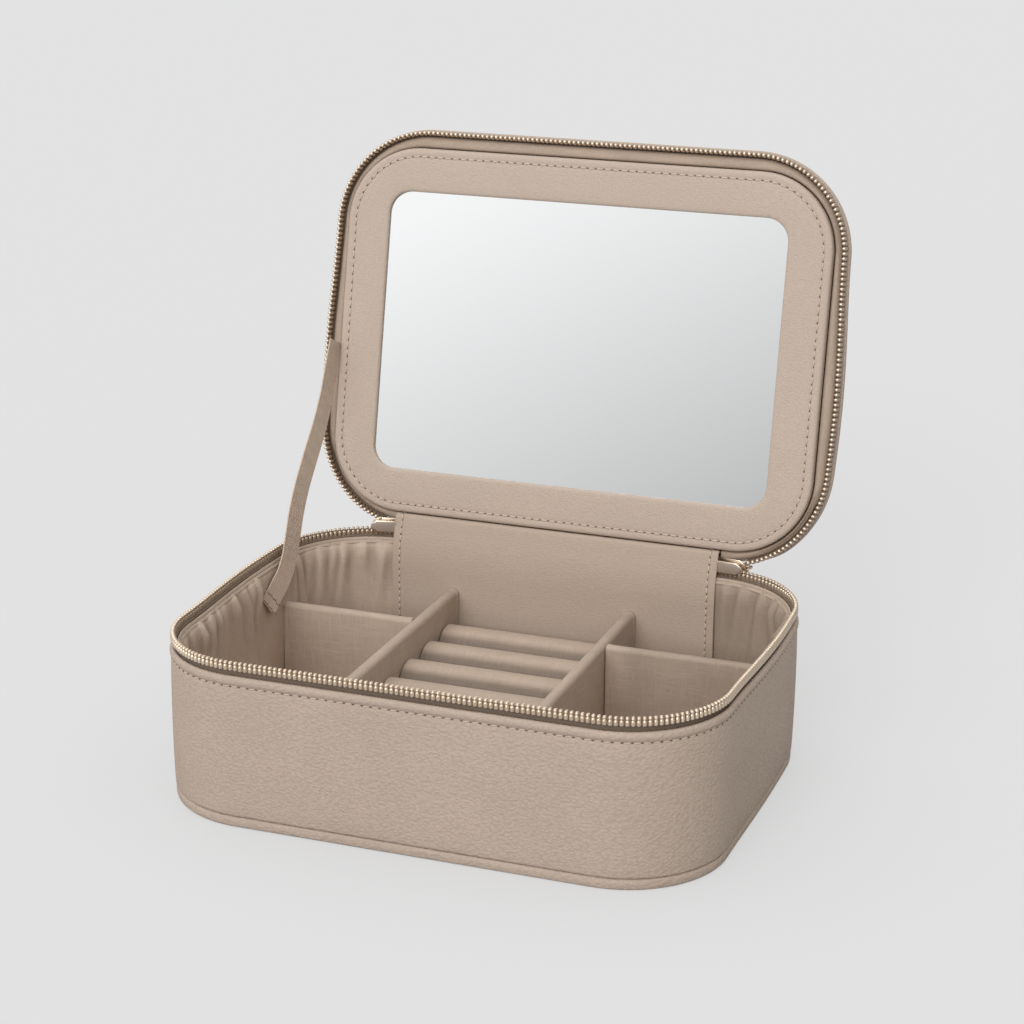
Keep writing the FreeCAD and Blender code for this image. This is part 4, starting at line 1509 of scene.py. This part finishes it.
class CASE_OT_hinge(bpy.types.Operator):
    """Leather hinge: the stitched panel inside and the strap outside"""

    bl_idname = "makeup_case.hinge"
    bl_label = "Hinge"

    def execute(self, context):
        self.panel()
        self.strap()
        return {"FINISHED"}

    def panel(self):
        """Panel from the floor up the back wall and under the mirror frame's edge."""
        low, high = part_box("hinge_panel")
        thick = HINGE_LEATHER
        wall = low.y + thick / 2
        frame_low, frame_high = shut_box("mirror_frame")
        tuck = frame_high.y + 0.4 * MM + thick / 2
        fold = opening @ Vector((0, tuck, frame_low.z))
        end = opening @ Vector((0, tuck, zip_height + 3.4 * MM))
        rim = wall_high.z - 3.0 * MM
        points = [(wall, low.z), (wall, rim), (fold.y, fold.z), (end.y, end.z)]
        line = even_line(rounded_line(points, (50.0 * MM, 1.4 * MM), BEND_STEPS), BEND_RUN)
        half = high.x - sizes().panel_trim
        panel = strip_piece("hinge_panel_leather", [(point.x, point.y) for point in line], thick, half,
                            columns=48, middle=sizes().hinge_shift)
        start, stop = (0, wall, rim), tuple(fold)
        dress_bent(panel, panel_leather, ["hinge_panel"], smooth=50.0)
        self.panel_seams(line, half - sizes().panel_seam, thick, start, stop)

    def panel_seams(self, line, reach, thick, start, stop):
        """Stitches up both edges of the panel."""
        travel, places = 0.0, []
        pitch = sizes().stitch_pitch * 0.86
        for here, there in zip(line, line[1:]):
            run = there - here
            while travel <= run.length:
                point = here + run.normalized() * travel
                front = Vector((0, -run.y, run.x)).normalized()
                slope = math.atan2(run.y, run.x)
                for side in (-1, 1):
                    spot = Vector((sizes().hinge_shift + side * reach, point.x, point.y))
                    spot += front * (thick / 2 + 0.1 * MM)
                    places.append(Matrix.Translation(spot) @ Matrix.Rotation(slope, 4, "X")
                                  @ Matrix.Rotation(QUARTER, 4, "Z"))
                travel += pitch
            travel -= run.length
        for row, build in zip(seam_row("hinge_panel", places, with_painted_shadow=False), (thread, painted_stitch_shade)):
            dress_bent(row, build, smooth=180.0)

    def strap(self):
        """Strap outside, from the back wall to the open lid's wall."""
        low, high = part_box("hinge_strap")
        thick = HINGE_LEATHER
        base = wall_high.y + STRAP_GAP + thick / 2
        lid_low, lid_high = shut_box("lid_cover")
        lid_y = lid_high.y + STRAP_GAP + thick / 2
        near = opening @ Vector((0, lid_y, lid_low.z))
        far = opening @ Vector((0, lid_y, lid_low.z + 4.0 * MM))
        slope = (far.z - near.z) / (far.y - near.y)
        bend = (base, near.z + slope * (base - near.y))
        points = [(base, low.z), bend, (far.y, far.z)]
        line = even_line(rounded_line(points, (2.2 * MM,), BEND_STEPS), BEND_RUN)
        strap = strip_piece("back_strap", [(point.x, point.y) for point in line], thick, high.x,
                            columns=24, middle=sizes().hinge_shift)
        dress_bent(strap,
                   case_leather, ["hinge_strap"], smooth=50.0)


# Line of the slack ribbon up the left side, as (x, y, z) and the turn of its face towards the front
RIBBON_LINE = ((-0.1054, 0.0222, 0.0466, 14), (-0.1048, 0.0286, 0.0514, 12), (-0.1041, 0.0353, 0.0566, 12),
               (-0.1037, 0.0400, 0.0632, 12), (-0.1037, 0.0440, 0.0722, 12), (-0.1041, 0.0487, 0.0806, 12),
               (-0.1045, 0.0562, 0.0905, 11), (-0.1048, 0.0655, 0.1003, 11), (-0.1050, 0.0752, 0.1105, 10),
               (-0.1051, 0.0828, 0.1212, 8), (-0.1052, 0.0885, 0.1325, 6), (-0.1053, 0.0935, 0.1430, 2))
RIBBON_SEWN = (RIBBON_LINE[0][1] + RIBBON_LINE[2][1]) / 2


class CASE_OT_ribbon(bpy.types.Operator):
    """Ribbon that stops the lid, sewn to the left wall and to the lid's edge"""

    bl_idname = "makeup_case.ribbon"
    bl_label = "Stay ribbon"

    def execute(self, context):
        points, turns = self.smooth_line(between=6)
        half = sizes().ribbon_width / 2
        columns = 6
        piece = start_vertex("ribbon_tape", Vector((0, 0, 0)))
        draw_on([Vector((0, 0, number * MM)) for number in range(columns + 1)])
        for _ in points[1:]:
            extrude((0, MM, 0))
        object_mode()
        travel = [0.0]
        for here, there in zip(points, points[1:]):
            travel.append(travel[-1] + (there - here).length)
        cut = []
        for vertex in piece.data.vertices:
            place, column = round(vertex.co.y / MM), round(vertex.co.z / MM)
            run = points[min(place + 1, len(points) - 1)] - points[max(place - 1, 0)]
            side = self.across(run, turns[place])
            offset = half * (2 * column / columns - 1)
            cut.append((offset, travel[place]))
            vertex.co = points[place] + side * offset
        face_out(piece)
        write_map(piece, lambda index: cut[index])
        modify(piece, "SOLIDIFY", thickness=0.55 * MM, offset=0.0)
        dress_bent(piece, ribbon_cloth, ["stay_ribbon"], smooth=60.0)
        sew("ribbon_end", self.end_seam(points, turns), "base", "ribbon")
        return {"FINISHED"}

    def end_seam(self, points, turns):
        """Places of two rows of stitches across the ribbon's lower end."""
        places = []
        for number in (1, 4):
            run = points[number + 1] - points[number - 1]
            side = self.across(run, turns[number])
            face = side.cross(run).normalized()
            for shift in (-3.4, 0.0, 3.4):
                axes = Matrix((side, face, side.cross(face))).transposed().to_4x4()
                spot = points[number] + side * shift * MM + face * 0.3 * MM
                places.append(Matrix.Translation(spot) @ axes)
        return places

    def across(self, run, turn):
        """Direction across the ribbon where it runs in a direction with its face turned."""
        side = run.cross(Vector((1, 0, 0))).normalized()
        return Matrix.Rotation(-math.radians(turn), 3, run.normalized()) @ side

    def smooth_line(self, between):
        """Points and turns along the ribbon, on a smooth line through its knots."""
        knots = [Vector(knot) for knot in RIBBON_LINE]
        points, turns = [], []
        for number in range(len(knots) - 1):
            four = [knots[max(0, min(len(knots) - 1, number + shift))] for shift in (-1, 0, 1, 2)]
            for step in range(between):
                point, turn = self.between_knots(four, step / between)
                points.append(point)
                turns.append(turn)
        points.append(knots[-1].to_3d())
        turns.append(knots[-1].w)
        return points, turns

    def between_knots(self, four, share):
        """Place and turn between the second and third of four knots."""
        weights = (-0.5 * share ** 3 + share ** 2 - 0.5 * share, 1.5 * share ** 3 - 2.5 * share ** 2 + 1,
                   -1.5 * share ** 3 + 2 * share ** 2 + 0.5 * share, 0.5 * share ** 3 - 0.5 * share ** 2)
        mixed = sum((knot * weight for knot, weight in zip(four, weights)), Vector((0, 0, 0, 0)))
        return mixed.to_3d(), mixed.w


class CASE_OT_lid(bpy.types.Operator):
    """Leather lid with its stitched edge, its foam and the cloth band inside its rim"""

    bl_idname = "makeup_case.lid"
    bl_label = "Lid"

    def execute(self, context):
        self.shell()
        self.foam()
        self.gusset()
        return {"FINISHED"}

    def shell(self):
        """Lid cover with a stitched bead, a large round edge and a slight crown."""
        low, high = shut_box("lid_cover")
        edge = high.x - wall_high.x
        top, turn, thick = high.z, 11.0 * MM, 1.4 * MM
        section = beside(edge, top, ((-28.0, -1.4),))
        section += arc(edge - turn, top - turn, turn - thick, first=90, last=0, steps=10)
        section += beside(edge, low.z, ((-1.4, 0), (-0.35, 0), (-0.05, 0.3)))
        section += arc(edge - turn, top - turn, turn, first=0, last=14, steps=3)
        groove = math.radians(19)
        for shift, depth in ((-2.5, 0.15), (0.0, 0.42), (2.5, 0.15)):
            angle = groove + math.radians(shift)
            section.append((edge - turn + (turn - depth * MM) * math.cos(angle),
                            top - turn + (turn - depth * MM) * math.sin(angle)))
        section += arc(edge - turn, top - turn, turn, first=24, last=90, steps=12)
        section += beside(edge, top, ((-16.0, 0.25), (-22.0, 0.5), (-28.0, 0.65)))
        shell = sweep("lid_shell", case.ring(), case.radius, section)
        fill_rings(shell)
        self.swell(shell)
        bow(shell)
        dress_lid(shell, case_leather, ["lid_cover"], smooth=50.0)
        sunk = turn - 0.3 * MM
        radius = case.radius + edge - turn + sunk * math.cos(groove)
        places = stations(case.ring(), radius, top - turn + sunk * math.sin(groove), sizes().stitch_pitch)
        sew("lid_shell", places, "lid", "case_leather", self.swell, bow, open_up)

    def swell(self, piece):
        """Pushes the shut lid's leather outward, except along the back where the hinge strap is sewn on."""
        for vertex in piece.data.vertices:
            off_x, off_y = abs(vertex.co.x) - case.reach_x, vertex.co.y - case.reach_y
            turned = 1.0
            if off_y > 0:
                turned = max(0.0, min(1.0, math.atan2(max(off_x, 0.0), off_y) / math.radians(40)))
            share = turned * turned * (3 - 2 * turned)
            vertex.co -= case_inward(vertex.co) * sizes().lid_swell * share

    def foam(self):
        """Foam inside the lid."""
        low, high = shut_box("lid_padding")
        edge = high.x - wall_high.x
        turn = 2.0 * MM
        section = beside(edge, high.z, ((-24.0, 0),))
        section += arc(edge - turn, high.z - turn, turn, first=90, last=0, steps=5)
        section += beside(edge, low.z, ((0, 0.8), (-0.8, 0), (-24.0, 0)))
        foam = sweep("lid_foam", case.ring(), case.radius, section)
        fill_rings(foam)
        dress_lid(foam, pale_foam, ["lid_padding"])

    def gusset(self):
        """Soft band of cloth between the mirror frame and the lid's teeth."""
        low, high = shut_box("lid_gusset")
        band_outer = high.x - wall_high.x + sizes().zip_flare
        inner = frame_outline()
        rings = [(case, band_outer, high.z)]
        rings += rings_beside(case, band_outer, low.z, ((-0.1, 0.9), (-0.6, 0.2), (-1.2, -0.45)))
        rings += rings_beside(inner, 0, low.z, ((1.25, -0.75), (0.7, -0.35), (0.35, 0.4)))
        rings += rings_beside(inner, 0, high.z, ((0.25, 0.05),))
        band = loft("lid_gusset_band", rings)
        self.cut_back(band)
        bow(band, still=105.3 * MM, moved=106.6 * MM)
        dress_lid(band, gusset_cloth, ["lid_gusset"], smooth=60.0)

    def cut_back(self, band):
        """Takes the band away where the hinge panel passes."""
        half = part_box("hinge_panel")[1].x - sizes().panel_trim + 0.2 * MM
        left, right = sizes().hinge_shift - half, sizes().hinge_shift + half
        activate(band)
        edit_mode()
        for end in (left, right):
            select_mesh()
            bpy.ops.mesh.bisect(plane_co=(end, 0, 0), plane_no=(1, 0, 0))
        bpy.ops.mesh.select_mode(type="FACE")
        deselect_mesh()
        object_mode()
        for face in band.data.polygons:
            face.select = left < face.center.x < right and face.center.y > 0
        edit_mode()
        bpy.ops.mesh.delete(type="FACE")
        bpy.ops.mesh.select_mode(type="VERT")
        object_mode()
        fill_rings(band)


# How much rounder the case's corners are than the mirror frame's, the rounding of the frame's window, and how
# far the frame's lip covers the glass
FRAME_INSET, WINDOW_ROUND, LIP_WIDTH = 8.5 * MM, 9.5 * MM, 2.0 * MM


def frame_outline():
    """Outline of the mirror frame while the lid is shut."""
    low, high = shut_box("mirror_frame")
    radius = case.radius - FRAME_INSET
    middle = (low.y + high.y) / 2
    return Outline(high.x - radius, high.y - middle - radius, radius, middle)


def window_outline():
    """Outline of the mirror frame's opening while the lid is shut."""
    low, high = shut_box("mirror_glass")
    radius = WINDOW_ROUND
    middle = (low.y + high.y) / 2
    return Outline(high.x - LIP_WIDTH - radius, high.y - middle - LIP_WIDTH - radius, radius, middle)


class CASE_OT_mirror(bpy.types.Operator):
    """Mirror glass in its stitched leather frame"""

    bl_idname = "makeup_case.mirror"
    bl_label = "Mirror"

    def execute(self, context):
        low, high = shut_box("mirror_frame")
        outer, window = frame_outline(), window_outline()
        front, back = low.z, high.z
        seam = sizes().frame_seam
        rings = [(outer, 0, back)]
        rings += rings_beside(outer, 0, front, ((0, 1.5), (-0.12, 0.95), (-0.45, 0.42), (-1.0, 0.1),
                                                (-1.7, 0), (-2.6, 0.02)))
        rings += rings_beside(outer, -seam, front, ((0.5, 0.12), (0, 0.3), (-0.5, 0.12), (-1.2, 0.02),
                                                    (-2.4, -0.05)))
        rings += rings_beside(window, 0, front, ((4.0, -0.05), (1.6, 0), (0.75, 0.1), (0.25, 0.35), (0, 0.8),
                                                 (0, 1.6)))
        rebate = LIP_WIDTH + 0.4 * MM
        rings += [(window, rebate, front + 1.66 * MM), (window, rebate, back)]
        piece = loft("mirror_frame_leather", rings)
        dress_lid(piece, frame_leather, ["mirror_frame"], smooth=60.0)
        places = stations(outer.ring(), outer.radius - seam, front + 0.16 * MM, sizes().stitch_pitch)
        sew("mirror_frame", places, "lid", "frame_leather", open_up)
        self.glass()
        return {"FINISHED"}

    def glass(self):
        """Flat glass with a fine bevel, behind the frame's lip."""
        low, high = shut_box("mirror_glass")
        window = window_outline()
        edge, bevel = LIP_WIDTH, 0.3 * MM
        section = [(edge - bevel, low.z), (edge, low.z + bevel), (edge, high.z - bevel),
                   (edge - bevel, high.z)]
        glass = sweep("mirror_plate", window.ring(), window.radius, section, run_step=1.0)
        fill_rings(glass)
        dress_lid(glass, mirror_silver, ["mirror_glass"], smooth=10.0)


class CASE_OT_sliders(bpy.types.Operator):
    """Zip sliders with gold edges and enamel faces, and their pulls"""

    bl_idname = "makeup_case.sliders"
    bl_label = "Sliders and pulls"

    def execute(self, context):
        for side, label in ((1, "right"), (-1, "left")):
            turn = math.asin((sizes().slider_place + side * sizes().hinge_shift) / tooth_line())
            middle = around(case.corner(side, 1), tooth_line(), QUARTER - side * turn, zip_height)
            place = (Matrix.Translation(middle) @ Matrix.Rotation(-side * turn, 4, "Z")
                     @ Matrix.Diagonal((side, 1, 1, 1)))
            pivot = Vector(joints[f"{label}_pull_swing"]["pos_m"])
            body = self.slider_body(label, place, place.inverted() @ pivot)
            dress(body, f"{label}_slider", gold_metal, [f"{label}_slider"], smooth=40.0)
            for face in self.faces(label, place):
                dress(face, f"{label}_slider", enamel, smooth=40.0)
            axis = Vector(joints[f"{label}_pull_swing"]["axis"])
            hang = Matrix.Translation(pivot) @ Matrix.Rotation(math.atan2(axis.y, axis.x), 4, "Z")
            tab, panel = self.pull(label, hang)
            dress(tab, f"{label}_pull", gold_metal, [f"{label}_pull"], smooth=40.0)
            dress(panel, f"{label}_pull", enamel, smooth=40.0)
        return {"FINISHED"}

    def hexagon(self, name, trim, near, far):
        """Plate with a pointed nose between two distances from the zip line."""
        length, height, tip = 5.4 * MM - trim, 2.65 * MM - trim, 2.2 * MM
        tip_height = 1.0 * MM - 0.3 * trim
        corners = [(-length, -height), (length - tip, -height), (length, -tip_height), (length, tip_height),
                   (length - tip, height), (-length, height), (-length, -height)]
        return self.plate(name, [Vector((along, near, up)) for along, up in corners], far - near)

    def plate(self, name, points, thick):
        """Flat plate of a closed outline, thick towards +Y, with fine bevels."""
        plate = start_vertex(name, points[0])
        draw_on(points)
        fill_outline()
        extrude((0, thick, 0))
        merge_and_face_out()
        modify(plate, "BEVEL", width=0.2 * MM, segments=2, limit_method="ANGLE")
        return plate

    def slider_body(self, label, place, pivot):
        """Two pointed plates, the web between the rows, and the bail that holds the pull."""
        pieces = [self.hexagon("plate", trim=0.0, near=near, far=near + SLIDER_PLATE)
                  for near in (-SLIDER_MOUTH - SLIDER_PLATE, SLIDER_MOUTH)]
        web = (Vector((-0.2, -1.9, -0.25)) * MM, Vector((2.8, 1.9, 0.25)) * MM)
        boxes = [web]
        for post in (-2.4 * MM, 2.4 * MM):
            reach = Vector((0.5, 0, 0.5)) * MM
            boxes.append((Vector((pivot.x + post, SLIDER_MOUTH + SLIDER_PLATE / 2, pivot.z)) - reach,
                          Vector((pivot.x + post, pivot.y, pivot.z)) + reach))
        for low, high in boxes:
            pieces.append(box_piece("block", low, high))
            object_mode()
        deselect_objects()
        bpy.ops.mesh.primitive_cylinder_add(vertices=16, radius=0.55 * MM, depth=5.8 * MM, location=pivot,
                                            rotation=(0, QUARTER, 0))
        pieces.append(bpy.context.object)
        return self.join(pieces, f"{label}_slider_body", place)

    def faces(self, label, place):
        """Enamel faces set into the two plates."""
        made = []
        outside = SLIDER_MOUTH + SLIDER_PLATE
        for number, middle in enumerate((-outside, outside)):
            face = self.hexagon(f"{label}_slider_face_{number + 1}", trim=0.50 * MM, near=middle - INLAY / 2,
                                far=middle + INLAY / 2)
            made.append(self.join([face], face.name, place))
        return made

    def pull(self, label, place):
        """Flat tab with an eye round the bail, and its enamel panel."""
        thick = 0.6 * MM
        outline = ((-1.5, -0.9), (1.5, -0.9), (1.5, -3.9), (3.0, -5.9), (3.0, -22.6), (2.0, -24.0),
                   (-2.0, -24.0), (-3.0, -22.6), (-3.0, -5.9), (-1.5, -3.9), (-1.5, -0.9))
        inner = ((-2.2, -7.0), (2.2, -7.0), (2.2, -22.0), (1.4, -23.0), (-1.4, -23.0), (-2.2, -22.0),
                 (-2.2, -7.0))
        made = []
        for name, corners, deep in (("tab", outline, thick), ("panel", inner, thick + INLAY / 2)):
            points = [Vector((across * MM, -deep, up * MM)) for across, up in corners]
            made.append(self.plate(name, points, 2 * deep))
        deselect_objects()
        bpy.ops.mesh.primitive_torus_add(major_radius=1.3 * MM, minor_radius=0.42 * MM, major_segments=28,
                                         minor_segments=10, rotation=(0, QUARTER, 0))
        eye = bpy.context.object
        return (self.join([made[0], eye], f"{label}_pull_tab", place),
                self.join([made[1]], f"{label}_pull_panel", place))

    def join(self, pieces, name, place):
        """Joins pieces, sets them in place and turns mirrored faces out again."""
        joined = join_pieces(pieces, name)
        joined.matrix_world = place
        settle(joined)
        face_out(joined)
        return joined


class CASE_OT_boards(bpy.types.Operator):
    """Boards that the covers hide"""

    bl_idname = "makeup_case.boards"
    bl_label = "Hidden boards"

    def execute(self, context):
        low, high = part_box("base_wall_board")
        outer, thick = high.x - wall_high.x, 2.0 * MM
        section = [(outer, low.z), (outer, high.z), (outer - thick, high.z), (outer - thick, low.z),
                   (outer, low.z)]
        wall = sweep("wall_board", case.ring(), case.radius, section)
        bow(wall)
        dress(wall, "base", greyboard, ["base_wall_board"])
        for node in ("base_floor_board", "lid_board", "mirror_backing"):
            board = frame["nodes"][node]
            board.data.materials.clear()
            board.data.materials.append(finish_of(greyboard))
        return {"FINISHED"}


class CASE_OT_stage(bpy.types.Operator):
    """Pale floor, soft light and the camera"""

    bl_idname = "makeup_case.stage"
    bl_label = "Stage"

    def execute(self, context):
        self.floor()
        self.light()
        self.world()
        self.camera()
        context.scene.view_settings.view_transform = "Standard"
        return {"FINISHED"}

    def floor(self):
        """Plain floor, pale to the camera."""
        deselect_objects()
        bpy.ops.mesh.primitive_plane_add(size=40.0)
        floor = bpy.context.object
        floor.name = "studio_floor"
        settle(floor)
        material, tree, shader = new_material("studio_floor")
        shader.inputs["Base Color"].default_value = colours().floor
        shader.inputs["Roughness"].default_value = 0.9
        shader.inputs["Specular IOR Level"].default_value = 0.1
        stage = studio()
        glow = put(tree, "ShaderNodeEmission", {"Color": stage.floor_pale})
        seen = math_node(tree, "MULTIPLY", put(tree, "ShaderNodeLightPath").outputs["Is Camera Ray"],
                         stage.floor_glow)
        mix = put(tree, "ShaderNodeMixShader", {0: seen, 1: shader.outputs[0], 2: glow.outputs[0]})
        put(tree, "ShaderNodeOutputMaterial", {"Surface": mix.outputs[0]}, is_active_output=True)
        floor.data.materials.append(material)

    def light(self):
        """Broad key light from the front and above."""
        stage = studio()
        bpy.ops.object.light_add(type="SUN", rotation=(stage.key_tilt, 0, -stage.key_turn))
        key = bpy.context.object
        key.name = "key_light"
        key.data.energy = stage.key
        key.data.angle = stage.key_spread

    def world(self):
        """Soft light, stronger from above; seen in metal and glass it is brighter above and to the left."""
        stage = studio()
        world = bpy.data.worlds.new("studio")
        bpy.context.scene.world = world
        world.use_nodes = True
        tree = world.node_tree
        tree.nodes.clear()
        here = put(tree, "ShaderNodeTexCoord")
        split = put(tree, "ShaderNodeSeparateXYZ", {0: here.outputs["Generated"]})
        side = math_node(tree, "MULTIPLY_ADD", split.outputs["X"], stage.fill_lean, split.outputs["Z"])
        fill = put(tree, "ShaderNodeMapRange",
                   {"Value": side, "To Min": stage.fill_low, "To Max": stage.fill_high})
        warm = put(tree, "ShaderNodeMix", {0: side, 6: stage.fill_warm, 7: (1.0, 1.0, 1.0, 1.0)},
                   data_type="RGBA")
        light = put(tree, "ShaderNodeBackground",
                    {"Strength": fill.outputs["Result"], "Color": warm.outputs[2]})
        slope = math_node(tree, "MULTIPLY_ADD", split.outputs["X"], stage.studio_lean, split.outputs["Z"])
        rise = put(tree, "ShaderNodeMapRange",
                   {"Value": slope, "From Min": stage.studio_low, "From Max": stage.studio_high,
                    "To Min": stage.studio_dark, "To Max": stage.studio_bright})
        reflected = put(tree, "ShaderNodeBackground", {"Color": rise.outputs["Result"], "Strength": 1.0})
        backdrop = put(tree, "ShaderNodeBackground", {"Color": stage.backdrop, "Strength": 1.0})
        path = put(tree, "ShaderNodeLightPath")
        shiny = math_node(tree, "MAXIMUM", path.outputs["Is Glossy Ray"], path.outputs["Is Transmission Ray"])
        mix = put(tree, "ShaderNodeMixShader", {0: shiny, 1: light.outputs[0], 2: reflected.outputs[0]})
        mix = put(tree, "ShaderNodeMixShader",
                  {0: path.outputs["Is Camera Ray"], 1: mix.outputs[0], 2: backdrop.outputs[0]})
        put(tree, "ShaderNodeOutputWorld", {"Surface": mix.outputs[0]})

    def camera(self):
        """Camera at the stage's distance and angles from its target."""
        stage = studio()
        turn, rise = stage.azimuth, stage.elevation
        back = Vector((math.sin(turn) * math.cos(rise), -math.cos(turn) * math.cos(rise), math.sin(rise)))
        right = Vector((math.cos(turn), math.sin(turn), 0))
        up = back.cross(right)
        lean = Matrix.Rotation(stage.roll, 3, back)
        axes = [lean @ right, lean @ up, back]
        place = Matrix([[axis[row] for axis in axes] for row in range(3)]).to_4x4()
        place.translation = Vector(stage.target) + back * stage.distance
        bpy.ops.object.camera_add()
        camera = bpy.context.object
        camera.name = "camera"
        camera.matrix_world = place
        camera.data.lens = stage.lens
        camera.data.sensor_width = 36.0
        camera.data.clip_start = 0.01
        camera.data.clip_end = 100.0
        bpy.context.scene.camera = camera


class CASE_PT_panel(bpy.types.Panel):
    """Lists the steps that dress the case"""

    bl_idname = "CASE_PT_panel"
    bl_label = "Makeup Case"
    bl_space_type = "VIEW_3D"
    bl_region_type = "UI"
    bl_category = "Makeup Case"

    def draw(self, context):
        for operator in OPERATORS:
            self.layout.operator(operator.bl_idname)
        for group in (context.scene.case_sizes, context.scene.case_colours, context.scene.case_stage):
            box = self.layout.box()
            for key in group.bl_rna.properties.keys():
                if key not in ("rna_type", "name"):
                    box.prop(group, key)


GROUPS = {"case_sizes": CaseSizes, "case_colours": CaseColours, "case_stage": CaseStage}
OPERATORS = (CASE_OT_base_shell, CASE_OT_zip, CASE_OT_lining, CASE_OT_dividers, CASE_OT_ring_rolls,
             CASE_OT_hinge, CASE_OT_ribbon, CASE_OT_lid, CASE_OT_mirror, CASE_OT_sliders, CASE_OT_boards,
             CASE_OT_stage)


def register():
    for new_class in (*GROUPS.values(), *OPERATORS, CASE_PT_panel):
        bpy.utils.register_class(new_class)
    for name, group in GROUPS.items():
        setattr(bpy.types.Scene, name, PointerProperty(type=group))


def unregister():
    for name in GROUPS:
        delattr(bpy.types.Scene, name)
    for old_class in (CASE_PT_panel, *reversed(OPERATORS), *GROUPS.values()):
        bpy.utils.unregister_class(old_class)


def main():
    register()
    for operator in OPERATORS:
        group, name = operator.bl_idname.split(".")
        getattr(getattr(bpy.ops, group), name)()


if __name__ == "__main__":
    main()
